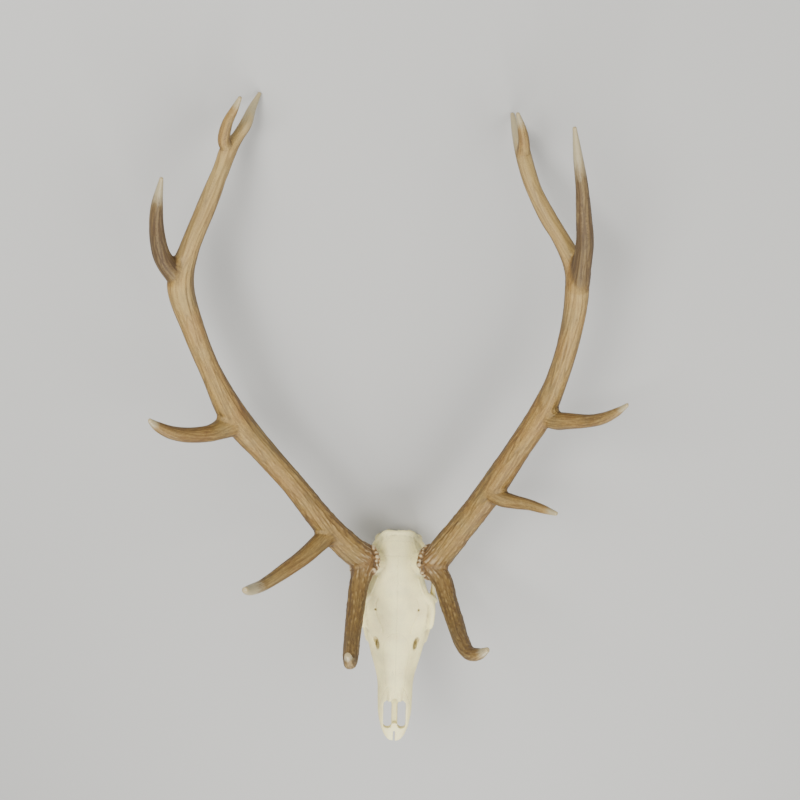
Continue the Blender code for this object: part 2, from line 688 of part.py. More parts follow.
def main():
    clear_scene()
    rest = bpy.data.objects.new("rest", None)
    bpy.context.scene.collection.objects.link(rest)
    bone, antler, enamel = (material(*values) for values in (BONE, ANTLER, ENAMEL))
    pieces = [(make_skull(), bone)]
    for name in SIDES:
        pieces += [(piece, antler) for piece in make_antler(name)]
    pieces += [(tooth, enamel) for tooth in make_teeth()]
    for piece, made_of in pieces:
        finish_piece(piece, made_of, rest)
    lay_down(rest, [piece for piece, _ in pieces])


main()
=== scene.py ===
import math
import random

import bmesh
import bpy
import numpy as np
from mathutils import Matrix, Vector, noise


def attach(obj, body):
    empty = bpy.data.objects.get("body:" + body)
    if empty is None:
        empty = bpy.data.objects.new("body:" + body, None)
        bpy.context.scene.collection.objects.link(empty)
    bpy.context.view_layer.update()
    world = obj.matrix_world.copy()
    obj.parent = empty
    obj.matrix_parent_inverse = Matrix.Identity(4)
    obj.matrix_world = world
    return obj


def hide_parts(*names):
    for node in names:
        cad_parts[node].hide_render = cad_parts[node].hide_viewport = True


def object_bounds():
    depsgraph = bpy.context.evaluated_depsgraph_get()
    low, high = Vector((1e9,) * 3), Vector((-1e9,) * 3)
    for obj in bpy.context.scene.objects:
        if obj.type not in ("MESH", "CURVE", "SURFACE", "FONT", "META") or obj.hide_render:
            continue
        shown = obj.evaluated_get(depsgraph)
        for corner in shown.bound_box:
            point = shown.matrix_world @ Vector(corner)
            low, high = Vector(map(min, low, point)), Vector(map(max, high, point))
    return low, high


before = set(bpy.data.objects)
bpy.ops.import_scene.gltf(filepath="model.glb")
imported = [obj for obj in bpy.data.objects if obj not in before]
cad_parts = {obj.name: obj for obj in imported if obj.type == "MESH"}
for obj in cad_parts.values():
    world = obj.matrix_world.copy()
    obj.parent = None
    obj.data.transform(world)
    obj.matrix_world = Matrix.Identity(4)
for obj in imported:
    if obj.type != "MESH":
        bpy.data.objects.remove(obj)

cad_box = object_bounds()

# The skull lies tipped back with its nose up, on two antler tips and two processes of the
# occiput. Its own frame has X towards the animal's left, Y towards the back of the head and Z up
# from the chewing faces of the cheek teeth; SKULL_PLACE takes that frame to where the skull rests.
REST_TILT = math.radians(33.17)
REST_ROLL = math.radians(-0.29)
REST_POINT = Vector((0.0276, -0.3973, 0.0078))
REST_TURN = Matrix.Rotation(REST_ROLL, 3, "Y") @ Matrix.Rotation(-REST_TILT, 3, "X")
SKULL_PLACE = Matrix.Translation(REST_POINT) @ REST_TURN.to_4x4()

# The photograph looks straight down on the roof of the skull from about three metres, with the
# picture turned slightly. The camera keeps that viewpoint over the skull as it rests.
VIEW_X = -0.0047
VIEW_Y = 0.349
VIEW_HEIGHT = 3.1
VIEW_TURN = math.radians(1.4)
FOCAL_PIXELS = 1364
MIDDLE_PIXEL = 400
SENSOR_WIDTH = 36

camera_data = bpy.data.cameras.new("camera")
camera_data.sensor_width = SENSOR_WIDTH
camera_data.lens = SENSOR_WIDTH * FOCAL_PIXELS / (2 * MIDDLE_PIXEL)
camera = bpy.data.objects.new("camera", camera_data)
viewpoint = Matrix.Translation((VIEW_X, VIEW_Y, VIEW_HEIGHT)) @ Matrix.Rotation(VIEW_TURN, 4, "Z")
camera.matrix_world = SKULL_PLACE @ viewpoint
bpy.context.scene.collection.objects.link(camera)
bpy.context.scene.camera = camera

# A matt pale floor under the skull, lit by large soft lamps so that the shadows have no hard
# edge. The main lamp stands on the upper side of the photograph.
FLOOR_SIZE = 60.0
FLOOR_COLOUR = "AEADA9"
FLOOR_ROUGHNESS = 0.9
LAMPS = {
    "main_lamp": ((-1.3, 1.9, 3.0), 1.6, 170.0),
    "fill_lamp": ((2.2, 0.2, 2.6), 2.2, 66.0),
    "nose_lamp": ((0.2, -2.2, 2.2), 1.8, 84.0),
}
LAMP_AIM = Vector((0.0, -0.1, 0.15))
SKY_STRENGTH = 0.55


def linear(hex_colour):
    """A colour written in sRGB hex, as the linear values that a shader takes."""
    parts = [int(hex_colour[i:i + 2], 16) / 255 for i in (0, 2, 4)]
    bent = [p / 12.92 if p <= 0.04045 else ((p + 0.055) / 1.055) ** 2.4 for p in parts]
    return (*bent, 1.0)


def new_material(name):
    """A material with its Principled shader, and the tree that holds both."""
    made = bpy.data.materials.new(name)
    made.use_nodes = True
    return made, made.node_tree, made.node_tree.nodes["Principled BSDF"]


def object_from(bm, name):
    mesh = bpy.data.meshes.new(name)
    bm.to_mesh(mesh)
    bm.free()
    made = bpy.data.objects.new(name, mesh)
    bpy.context.scene.collection.objects.link(made)
    return made


floor_bm = bmesh.new()
bmesh.ops.create_grid(floor_bm, x_segments=1, y_segments=1, size=FLOOR_SIZE / 2)
floor = object_from(floor_bm, "floor")
floor_paint, _, shader = new_material("matt_pale_floor")
shader.inputs["Base Color"].default_value = linear(FLOOR_COLOUR)
shader.inputs["Roughness"].default_value = FLOOR_ROUGHNESS
floor.data.materials.append(floor_paint)

for lamp_name, (place, width, power) in LAMPS.items():
    lamp_data = bpy.data.lights.new(lamp_name, "AREA")
    lamp_data.size = width
    lamp_data.energy = power
    lamp = bpy.data.objects.new(lamp_name, lamp_data)
    lamp.location = place
    lamp.rotation_euler = (LAMP_AIM - Vector(place)).to_track_quat("-Z", "Y").to_euler()
    bpy.context.scene.collection.objects.link(lamp)

sky = bpy.data.worlds.new("soft_sky")
sky.use_nodes = True
sky.node_tree.nodes["Background"].inputs["Color"].default_value = (1.0, 1.0, 1.0, 1.0)
sky.node_tree.nodes["Background"].inputs["Strength"].default_value = SKY_STRENGTH
bpy.context.scene.world = sky

# The skull is one bone without the lower jaw: face, roof, braincase, cheek arches, eye sockets
# and the two pedicles that carry the antlers. It is dry, bleached bone, and its parts have grown
# together along sutures that still show as fine seams.
CUT_GRAIN = 0.0026
HOLLOW_GRAIN = 0.0021
BONE_GRAIN = 0.0015
BONE_TRIANGLES = 185000
SOFTENING = 4
HOLLOW_SOFTENING = 1
BURR_CENTRE = Vector((0.069, 0.001, 0.166))
BURR_AXIS = Vector((0.61, 0.18, 0.77)).normalized()
GAP = 0.0003
SIDES = {"right": -1, "left": 1}

# Cross-sections of the skull from the nose back: y in metres, then x and z in millimetres round
# one side, from the middle of the roof to the middle of the palate or the skull's base.
SKULL_SECTIONS = [
    (-0.422, [(0, 24), (5, 24), (9, 23), (12, 21), (13, 19),
              (12, 16), (9, 14), (6, 13), (3, 13), (0, 13)]),
    (-0.404, [(0, 31), (9, 31), (18, 29), (24, 26), (26, 21),
              (24, 16), (19, 13), (11, 12), (6, 12), (0, 12)]),
    (-0.375, [(0, 44), (12, 44), (22, 42), (31, 36), (36, 27),
              (33, 19), (27, 14), (18, 13), (9, 14), (0, 14)]),
    (-0.345, [(0, 56), (14, 56), (26, 54), (34, 47), (39, 35),
              (38, 24), (32, 17), (24, 16), (12, 17), (0, 18)]),
    (-0.322, [(0, 80), (14, 80), (24, 75), (33, 62), (39, 46),
              (39, 30), (33, 20), (25, 19), (12, 20), (0, 21)]),
    (-0.300, [(0, 94), (12, 93), (22, 88), (32, 74), (39, 54),
              (39, 36), (34, 23), (26, 22), (13, 23), (0, 24)]),
    (-0.268, [(0, 99), (13, 98), (24, 92), (33, 78), (40, 60),
              (41, 42), (38, 27), (27, 26), (14, 28), (0, 29)]),
    (-0.235, [(0, 105), (15, 104), (26, 98), (36, 85), (52, 66),
              (50, 46), (44, 25), (28, 24), (15, 31), (0, 33)]),
    (-0.200, [(0, 114), (19, 113), (31, 107), (43, 93), (63, 77),
              (58, 52), (53, 24), (31, 23), (17, 32), (0, 35)]),
    (-0.165, [(0, 125), (23, 124), (39, 119), (53, 107), (69, 90),
              (61, 58), (57, 24), (33, 23), (18, 32), (0, 36)]),
    (-0.135, [(0, 134), (27, 134), (49, 131), (67, 121), (75, 102),
              (54, 62), (56, 26), (34, 24), (19, 33), (0, 37)]),
    (-0.105, [(0, 141), (27, 142), (54, 143), (76, 138), (80, 126),
              (42, 84), (33, 44), (26, 36), (15, 40), (0, 42)]),
    (-0.075, [(0, 145), (26, 147), (52, 146), (71, 140), (72, 128),
              (43, 96), (27, 64), (18, 54), (10, 52), (0, 51)]),
    (-0.040, [(0, 158), (24, 158), (43, 155), (57, 145), (58, 126),
              (47, 94), (31, 64), (19, 53), (10, 50), (0, 49)]),
    (-0.005, [(0, 161), (22, 160), (38, 152), (48, 138), (52, 114),
              (47, 84), (36, 62), (21, 52), (10, 48), (0, 47)]),
    (0.032, [(0, 149), (19, 148), (33, 141), (44, 125), (51, 102),
             (49, 78), (38, 60), (22, 51), (10, 48), (0, 47)]),
    (0.047, [(0, 142), (21, 141), (33, 135), (44, 116), (47, 95),
             (43, 74), (32, 59), (18, 52), (9, 50), (0, 50)]),
    (0.061, [(0, 137), (21, 137), (31, 131), (40, 113), (42, 100),
             (35, 88), (25, 80), (16, 77), (8, 76), (0, 76)]),
]

# Round bars of the skull, on one side: x, y, z and radius along each, in metres.
BAR_STEP = 0.006
BARS = {
    "cheek arch": [
        (0.058, -0.185, 0.068, 0.010), (0.067, -0.155, 0.070, 0.009), (0.076, -0.125, 0.070, 0.008),
        (0.079, -0.095, 0.070, 0.0065), (0.077, -0.060, 0.074, 0.006), (0.073, -0.030, 0.077, 0.0065),
        (0.060, -0.006, 0.082, 0.009), (0.046, 0.006, 0.084, 0.010),
    ],
    "bar behind the eye": [
        (0.058, -0.072, 0.138, 0.009), (0.074, -0.082, 0.131, 0.008), (0.083, -0.088, 0.114, 0.006),
        (0.0825, -0.087, 0.094, 0.0055), (0.079, -0.084, 0.076, 0.007),
    ],
    "brow over the eye": [
        (0.058, -0.072, 0.139, 0.008), (0.074, -0.092, 0.136, 0.0075), (0.0765, -0.116, 0.133, 0.007),
        (0.0745, -0.140, 0.118, 0.0065), (0.071, -0.149, 0.100, 0.006), (0.071, -0.145, 0.080, 0.007),
    ],
    "pedicle": [
        (0.040, -0.006, 0.130, 0.026), (0.054, -0.003, 0.148, 0.0245), (0.0635, 0.0, 0.159, 0.0235),
        (0.076, 0.003, 0.175, 0.0235),
    ],
    "crest at the back": [
        (0.0, 0.059, 0.132, 0.0065), (0.020, 0.060, 0.132, 0.0065), (0.031, 0.058, 0.130, 0.0065),
        (0.041, 0.045, 0.118, 0.006), (0.0515, 0.032, 0.102, 0.0065), (0.0535, 0.025, 0.086, 0.0065),
        (0.049, 0.028, 0.070, 0.0065),
    ],
    "process beside the condyle": [
        (0.044, 0.036, 0.072, 0.009), (0.045, 0.042, 0.055, 0.0075), (0.043, 0.043, 0.036, 0.006),
        (0.040, 0.040, 0.018, 0.0045),
    ],
    "ear canal": [
        (0.036, 0.010, 0.056, 0.008), (0.047, 0.013, 0.066, 0.0075), (0.055, 0.014, 0.074, 0.007),
    ],
    "plate beside the throat": [
        (0.024, -0.122, 0.042, 0.006), (0.022, -0.104, 0.038, 0.0045), (0.021, -0.086, 0.036, 0.004),
        (0.020, -0.072, 0.042, 0.004), (0.019, -0.058, 0.052, 0.0055),
    ],
    "nasal bone": [
        (0.009, -0.288, 0.0905, 0.006), (0.010, -0.306, 0.0885, 0.005), (0.0115, -0.324, 0.0855, 0.003),
    ],
}

# Rounded lumps of the skull, on one side: centre and half sizes in metres.
LUMPS = {
    "condyle": ((0.0225, 0.047, 0.060), (0.0125, 0.0135, 0.018)),
    "ear capsule": ((0.030, 0.004, 0.046), (0.011, 0.017, 0.012)),
    "jaw joint": ((0.056, -0.012, 0.077), (0.017, 0.014, 0.008)),
    "mastoid": ((0.046, 0.026, 0.080), (0.010, 0.012, 0.020)),
    "back of the tooth row": ((0.0445, -0.122, 0.040), (0.0145, 0.018, 0.018)),
}

# Hollows cut into the skull, on one side: centre, half sizes and a turn about Z in degrees.
HOLLOWS = {
    "eye socket": ((0.072, -0.115, 0.100), (0.030, 0.0285, 0.0270), 0),
    "depth of the eye socket": ((0.050, -0.100, 0.091), (0.024, 0.026, 0.021), 0),
    "pit before the eye": ((0.077, -0.166, 0.102), (0.015, 0.019, 0.012), -18),
    "hollow of the cheek": ((0.066, -0.194, 0.115), (0.023, 0.027, 0.020), -22),
    "gap beside the nasal bone": ((0.0415, -0.188, 0.104), (0.0048, 0.0145, 0.019), -8),
    "corner of that gap": ((0.0465, -0.178, 0.107), (0.0058, 0.0085, 0.012), 35),
    "temple": ((0.0675, -0.050, 0.098), (0.0085, 0.030, 0.050), 6),
    "hole over the eye": ((0.047, -0.106, 0.143), (0.003, 0.003, 0.016), 0),
    "hole below the eye": ((0.047, -0.240, 0.062), (0.006, 0.010, 0.004), 20),
}

# Hollows on the middle plane: centre and half sizes.
MIDDLE_HOLLOWS = {
    "nasal cavity": ((0.0, -0.268, 0.061), (0.025, 0.100, 0.026)),
    "deep nasal cavity": ((0.0, -0.205, 0.072), (0.034, 0.060, 0.026)),
    "throat opening": ((0.0, -0.094, 0.046), (0.0165, 0.036, 0.014)),
    "brain cavity": ((0.0, -0.004, 0.102), (0.037, 0.042, 0.037)),
    "hole for the spinal cord": ((0.0, 0.046, 0.069), (0.0165, 0.034, 0.0155)),
}

# Openings of the muzzle with straight sides and rounded ends, looking down: centre, half sizes
# and the radius of the corners.
MUZZLE_OPENINGS = [
    ((0.0, -0.3475, 0.086), (0.0255, 0.0275, 0.060), 0.008),
    ((0.0160, -0.3590, 0.010), (0.0093, 0.0295, 0.040), 0.008),
    ((-0.0160, -0.3590, 0.010), (0.0093, 0.0295, 0.040), 0.008),
    ((0.0, -0.4110, 0.018), (0.0024, 0.0165, 0.030), 0.0015),
]

# Notches that give the free ends of the nasal bones their points: centre and half sizes.
NOTCHES = {
    "notch between the nasal bones": ((0.0, -0.3240, 0.088), (0.0030, 0.0130, 0.014)),
    "notch in the nasal bone": ((0.0105, -0.3250, 0.088), (0.0022, 0.0090, 0.014)),
    "notch beside the nasal bone": ((0.0180, -0.3240, 0.084), (0.0022, 0.0100, 0.014)),
}

# Lines on the bone, on one side, in millimetres: the side that they are seen from, half width,
# depth (below 0 for a ridge), how far they wander, and stations as two coordinates of that view.
LINES = {
    "seam between the nasal bones": ("top", 1.0, 0.25, 0.5, [(0, -311), (0, -240), (0, -160)]),
    "seam between the frontal bones": ("top", 1.1, 0.3, 2.0, [(0, -160), (0, -75), (0, 12)]),
    "side of the nasal bone": (
        "top", 1.0, 0.3, 0.7,
        [(0, -160), (9, -162), (17, -168), (25, -180), (29, -198), (27, -225), (23, -255),
         (20, -285), (16, -312)],
    ),
    "seam behind the pedicles": ("top", 1.1, 0.3, 1.8, [(0, 12), (12, 11), (24, 13), (37, 9), (46, 3)]),
    "seam before the crest": ("top", 1.0, 0.2, 1.5, [(0, 44), (14, 43), (27, 42), (37, 36)]),
    "tear bone, upper seam": (
        "top", 1.0, 0.5, 0.9, [(71, -147), (62, -158), (54, -170), (47, -186), (40, -205)],
    ),
    "tear bone, lower seam": ("side", 1.0, 0.5, 0.8, [(-150, 82), (-168, 76), (-190, 74), (-208, 82)]),
    "front of the cheekbone": (
        "side", 1.0, 0.5, 1.0, [(-208, 82), (-214, 68), (-203, 52), (-182, 40), (-160, 34)],
    ),
    "seam of the front jaw bone": (
        "side", 1.0, 0.6, 0.8, [(-284, 93), (-306, 76), (-326, 56), (-342, 36), (-350, 20)],
    ),
    "seam of the cheek arch": ("side", 0.9, 0.5, 1.2, [(-118, 78), (-100, 72), (-82, 66)]),
    "seam of the palate": ("under", 1.0, 0.5, 0.6, [(0, -335), (0, -240), (0, -132)]),
    "cross seam of the palate": ("under", 1.0, 0.5, 1.0, [(0, -176), (12, -181), (22, -172), (30, -160)]),
    "groove before the hole over the eye": (
        "top", 3.0, 1.3, 0.5, [(47, -104), (45, -116), (40, -130), (34, -144), (30, -160)],
    ),
    "groove behind the hole over the eye": ("top", 2.2, 0.8, 0.5, [(47, -104), (46, -92), (42, -80)]),
    "groove before the hole below the eye": ("side", 3.0, 1.0, 0.4, [(-240, 62), (-256, 58), (-274, 54)]),
    "ridge of the temple": ("top", 3.5, -1.1, 0.6, [(57, -70), (50, -52), (45, -36)]),
    "ridge behind the pedicle": ("top", 3.0, -0.9, 0.6, [(44, 14), (38, 26), (34, 40), (30, 54)]),
    "ridge of the cheek": ("side", 3.5, -1.3, 0.4, [(-212, 50), (-190, 54), (-165, 57), (-140, 60)]),
    "middle ridge at the back": ("back", 3.0, -1.5, 0.3, [(0, 130), (0, 105), (0, 88)]),
}

# For each side that lines are seen from: the two axes across the view, the axis along it, its
# direction, and where on that axis the view begins.
LINE_VIEWS = {
    "top": ((0, 1), 2, 1, 0.065),
    "under": ((0, 1), 2, -1, -0.060),
    "side": ((1, 2), 0, 1, 0.012),
    "back": ((0, 2), 1, 1, 0.030),
}
# The wandering of a line, wide and fine: bends in a step, strength, and start in the noise.
LINE_BENDS = ((0.11, 1.0, 0.5), (0.33, 0.6, 4.5))
LINE_ROOM = 0.0024
LINE_STEP = 0.0007
LINE_ROUNDS = 2
SEAM_LIMIT = 0.0012
VIEW_FACING = 0.3

# Where the walls of a hollow end and how soon they fade, as shares of its half size.
WALL_END = 1.16
WALL_FADE = 0.14

# Rough patches, where muscle or antler was fixed, and stains: the centre in millimetres, how far
# each reaches, and its strength from 0 to 1.
ROUGH_PATCHES = [
    (0, 62, 118, 34, 1.0), (34, 50, 112, 22, 0.9), (-34, 50, 112, 22, 0.9), (66, 0, 162, 19, 1.0),
    (-66, 0, 162, 19, 1.0), (0, -415, 24, 26, 0.5), (46, 34, 60, 22, 0.6), (-46, 34, 60, 22, 0.6),
]
STAINS = [
    (33, 54, 128, 17, 0.9), (-33, 54, 128, 17, 0.9), (47, -26, 154, 16, 0.75), (-47, -26, 154, 16, 0.6),
    (56, -44, 136, 15, 1.0), (-58, -52, 122, 12, 0.8), (20, -64, 147, 15, 0.32), (-22, -66, 147, 15, 0.36),
    (0, -68, 146, 14, 0.25), (-28, -215, 104, 24, 0.5), (-24, -262, 98, 22, 0.4), (0, 52, 96, 34, 0.55),
    (60, -150, 100, 14, 0.5), (-60, -150, 100, 14, 0.5), (0, -300, 20, 60, 0.3), (0, 20, 46, 40, 0.6),
]


def settle_modifiers(obj):
    """Turns an object and its modifiers into one plain mesh."""
    bpy.context.view_layer.update()
    graph = bpy.context.evaluated_depsgraph_get()
    mesh = bpy.data.meshes.new_from_object(obj.evaluated_get(graph))
    name = obj.name
    bpy.data.objects.remove(obj, do_unlink=True)
    made = bpy.data.objects.new(name, mesh)
    bpy.context.scene.collection.objects.link(made)
    return made


def joined(objects, name):
    bm = bmesh.new()
    for obj in objects:
        bm.from_mesh(obj.data)
        bpy.data.objects.remove(obj, do_unlink=True)
    return object_from(bm, name)


def fused(obj, grain, rounds):
    """One closed skin round everything in the object, with its edges softened."""
    remesh = obj.modifiers.new("fuse", "REMESH")
    remesh.mode = "VOXEL"
    remesh.voxel_size = grain
    soften = obj.modifiers.new("soften", "SMOOTH")
    soften.factor = 0.5
    soften.iterations = rounds
    return settle_modifiers(obj)


def cut_away(obj, cutter):
    """The object less the cutter, which is used up."""
    cut = obj.modifiers.new("cut", "BOOLEAN")
    cut.operation = "DIFFERENCE"
    cut.object = cutter
    made = settle_modifiers(obj)
    bpy.data.objects.remove(cutter, do_unlink=True)
    return made


def smooth_points(stations, step=BAR_STEP):
    """Points on one smooth curve through the stations. Those of a bar carry its radius too."""
    values = [Vector(station) for station in stations]
    ends = [values[0] * 2 - values[1]] + values + [values[-1] * 2 - values[-2]]
    points = []
    for before, start, end, after in zip(ends, ends[1:], ends[2:], ends[3:]):
        count = max(2, math.ceil((end - start).length / step))
        for i in range(count):
            t = i / count
            slope_in, slope_out = (end - before) / 2, (after - start) / 2
            points.append(
                start * (2 * t**3 - 3 * t**2 + 1)
                + slope_in * (t**3 - 2 * t**2 + t)
                + end * (3 * t**2 - 2 * t**3)
                + slope_out * (t**3 - t**2)
            )
    points.append(values[-1])
    return points


def bar(stations, name, mirrored=False):
    """A round bar through the stations."""
    curve = bpy.data.curves.new(name, "CURVE")
    curve.dimensions = "3D"
    curve.bevel_depth = 1.0
    curve.bevel_resolution = 6
    curve.use_fill_caps = True
    points = smooth_points(stations)
    spline = curve.splines.new("POLY")
    spline.points.add(len(points) - 1)
    for place, point in zip(spline.points, points):
        place.co = (-point[0] if mirrored else point[0], point[1], point[2], 1.0)
        place.radius = point[3]
    made = bpy.data.objects.new(name, curve)
    bpy.context.scene.collection.objects.link(made)
    return settle_modifiers(made)


def lump(centre, half_sizes, name, turn=0.0, mirrored=False):
    bm = bmesh.new()
    bmesh.ops.create_icosphere(bm, subdivisions=3, radius=1.0)
    side = -1 if mirrored else 1
    place = Matrix.Translation((side * centre[0], centre[1], centre[2]))
    twist = Matrix.Rotation(math.radians(side * turn), 4, "Z")
    bm.transform(place @ twist @ Matrix.Diagonal((*half_sizes, 1.0)))
    return object_from(bm, name)


def rounded_opening(centre, half_sizes, corner):
    """A block with its upright edges rounded."""
    bm = bmesh.new()
    bmesh.ops.create_cube(bm, size=2.0)
    bm.transform(Matrix.Translation(centre) @ Matrix.Diagonal((*half_sizes, 1.0)))
    upright = [e for e in bm.edges if abs(e.verts[0].co.z - e.verts[1].co.z) > half_sizes[2]]
    bmesh.ops.bevel(
        bm, geom=upright, offset=corner, offset_type="OFFSET", segments=4, profile=0.5,
        affect="EDGES", material=-1,
    )
    return object_from(bm, "opening")


def burr_plane(side, shift):
    """The matrix of the plane where antler and pedicle meet, moved along the pedicle."""
    axis = Vector((side * BURR_AXIS.x, BURR_AXIS.y, BURR_AXIS.z))
    centre = Vector((side * BURR_CENTRE.x, BURR_CENTRE.y, BURR_CENTRE.z))
    return Matrix.Translation(centre + axis * shift) @ axis.to_track_quat("Z", "Y").to_matrix().to_4x4()


def skull_body():
    """The long box of face, roof and braincase, bridged from one cross-section to the next."""
    bm = bmesh.new()
    for y, half in SKULL_SECTIONS:
        outline = [(x, z) for x, z in half] + [(-x, z) for x, z in half[-2:0:-1]]
        ring = [bm.verts.new((x / 1000, y, z / 1000)) for x, z in outline]
        for a, b in zip(ring, ring[1:] + ring[:1]):
            bm.edges.new((a, b))
    bm.edges.ensure_lookup_table()
    around = len(bm.edges) // len(SKULL_SECTIONS)
    loops = [bm.edges[i * around:(i + 1) * around] for i in range(len(SKULL_SECTIONS))]
    for front, back in zip(loops, loops[1:]):
        bmesh.ops.bridge_loops(bm, edges=front + back)
    bmesh.ops.holes_fill(bm, edges=bm.edges, sides=around)
    bmesh.ops.recalc_face_normals(bm, faces=bm.faces)
    body = object_from(bm, "skull_body")
    rounding = body.modifiers.new("rounding", "SUBSURF")
    rounding.levels = 2
    rounding.render_levels = 2
    return settle_modifiers(body)


def mesh_points(obj):
    """The mesh's points as an array."""
    found = np.empty(len(obj.data.vertices) * 3, np.float32)
    obj.data.vertices.foreach_get("co", found)
    return found.reshape(-1, 3).astype(float)


def mesh_normals(obj):
    found = np.empty(len(obj.data.vertices) * 3, np.float32)
    obj.data.vertices.foreach_get("normal", found)
    return found.reshape(-1, 3).astype(float)


def move_points(obj, points):
    obj.data.vertices.foreach_set("co", points.astype(np.float32).ravel())
    obj.data.update()


def paint(obj, name, values):
    """Stores a number or a place for each point of the mesh, for patterns that follow it."""
    values = np.asarray(values, np.float32)
    kind, field = ("FLOAT", "value") if values.ndim == 1 else ("FLOAT_VECTOR", "vector")
    layer = obj.data.attributes.new(name, kind, "POINT")
    layer.data.foreach_set(field, values.ravel())


def evened(values, obj, rounds):
    """Values spread to their neighbours over the mesh, as many times as rounds."""
    ends = np.empty(len(obj.data.edges) * 2, np.int32)
    obj.data.edges.foreach_get("vertices", ends)
    a, b = ends.reshape(-1, 2).T
    count = len(values)
    degree = np.bincount(a, minlength=count) + np.bincount(b, minlength=count)
    for _ in range(rounds):
        columns = [
            np.bincount(a, column[b], minlength=count) + np.bincount(b, column[a], minlength=count)
            for column in values.T
        ]
        values = np.stack(columns, 1) / degree[:, None]
    return values


def line_path(stations, sway, seed):
    """Close points along a line that wanders from side to side, in metres."""
    path = smooth_points([Vector((u / 1000, v / 1000)) for u, v in stations], LINE_STEP)
    wandering = []
    for i, (a, b) in enumerate(zip(path, path[1:])):
        way = (b - a).normalized()
        drift = sum(
            strength * noise.noise(Vector((i * bends, seed, start)))
            for bends, strength, start in LINE_BENDS
        )
        wandering.append(a + Vector((-way.y, way.x)) * drift * sway / 1000)
    return np.array(wandering)


def line_distances(points, normals):
    """Half width and depth of each line, and every point's distance to it where it is near."""
    for number, (seen_from, half_width, depth, sway, stations) in enumerate(LINES.values()):
        axes, looked_along, towards, start = LINE_VIEWS[seen_from]
        from_side = seen_from == "side"
        on_middle = all(u == 0 for u, _ in stations) and not from_side
        for side in (1,) if on_middle else SIDES.values():
            path = line_path(stations, sway, number + side / 3)
            towards = side if from_side else towards
            across = points[:, axes] * (1 if from_side else side, 1)
            room = max(LINE_ROOM, half_width / 1000)
            near = towards * normals[:, looked_along] > VIEW_FACING
            near &= towards * points[:, looked_along] > start
            near &= (across > path.min(0) - room).all(1) & (across < path.max(0) + room).all(1)
            if near.any():
                offsets = across[near][:, None] - path[None]
                yield half_width / 1000, depth / 1000, near, np.linalg.norm(offsets, axis=2).min(1)


def line_marks(points, normals):
    """Each point's depth below the plain surface, how far it is in a seam, and if a line is near."""
    sunk, seam, near_line = np.zeros(len(points)), np.zeros(len(points)), np.zeros(len(points), bool)
    for half_width, depth, near, distance in line_distances(points, normals):
        share = np.clip(1 - distance / half_width, 0, 1)
        sunk[near] += depth * share * share * (3 - 2 * share)
        near_line[near] |= distance < max(LINE_ROOM, half_width)
        if half_width < SEAM_LIMIT:
            seam[near] = np.maximum(seam[near], share)
    return sunk, seam, near_line


def with_finer_lines(obj, rounds):
    """The object with smaller faces along its lines, so that narrow seams can be cut into them."""
    for _ in range(rounds):
        near_line = line_marks(mesh_points(obj), mesh_normals(obj))[2]
        bm = bmesh.new()
        bm.from_mesh(obj.data)
        edges = [e for e in bm.edges if near_line[e.verts[0].index] and near_line[e.verts[1].index]]
        bmesh.ops.subdivide_edges(bm, edges=edges, cuts=1, use_grid_fill=True)
        bm.to_mesh(obj.data)
        bm.free()
    return obj


def patch_strength(points, patches):
    """How strongly each point lies in one of the patches, fading towards their edges."""
    strength = np.zeros(len(points))
    for x, y, z, reach, most in patches:
        away = np.linalg.norm(points - np.array((x, y, z)) / 1000, axis=1) / (reach / 1000)
        strength = np.maximum(strength, most * np.exp(-away * away))
    return strength


def noise_at(points, size, seed=0.0):
    """Smooth noise from -1 to 1 at each point, with bumps of about the given size."""
    shift = Vector((seed, 2 * seed, 3 * seed))
    return np.array([noise.noise(Vector(point) / size + shift) for point in points])


def hollow_walls(points):
    """How far each point lies inside one of the hollows: 1 on its wall, 0 outside its mouth."""
    inside = np.zeros(len(points))
    hollows = [(centre, half, 1) for centre, half in MIDDLE_HOLLOWS.values()]
    hollows += [(centre, half, side) for centre, half, _ in HOLLOWS.values() for side in SIDES.values()]
    for centre, half, side in hollows:
        away = (points - np.array(centre) * (side, 1, 1)) / np.array(half)
        wall = (WALL_END - np.linalg.norm(away, axis=1)) / WALL_FADE
        inside = np.maximum(inside, np.clip(wall, 0, 1))
    return inside


def sawn(obj, place, side_kept):
    """The object cut flat at a plane, with the cut closed; side_kept is 1 above it, -1 below."""
    bm = bmesh.new()
    bm.from_mesh(obj.data)
    everything = bm.verts[:] + bm.edges[:] + bm.faces[:]
    cut = bmesh.ops.bisect_plane(
        bm, geom=everything, plane_co=place.translation, plane_no=place.col[2].xyz * side_kept,
        clear_inner=True,
    )
    rim = [part for part in cut["geom_cut"] if isinstance(part, bmesh.types.BMEdge)]
    bmesh.ops.edgeloop_fill(bm, edges=rim)
    bmesh.ops.recalc_face_normals(bm, faces=bm.faces)
    bm.to_mesh(obj.data)
    bm.free()
    return obj


def brought_down(obj, triangles):
    """The object with fewer faces, taken out where it is smoothest."""
    now = sum(len(face.vertices) - 2 for face in obj.data.polygons)
    fewer = obj.modifiers.new("fewer", "DECIMATE")
    fewer.ratio = min(1.0, triangles / now)
    return settle_modifiers(obj)


def hollowness(obj, rounds, depth):
    """How far each point lies below the surface round it: 1 at depth, below 0 on ridges."""
    points = mesh_points(obj)
    sunk = ((evened(points, obj, rounds) - points) * mesh_normals(obj)).sum(1)
    return np.clip(sunk / depth, -1.0, 1.0)


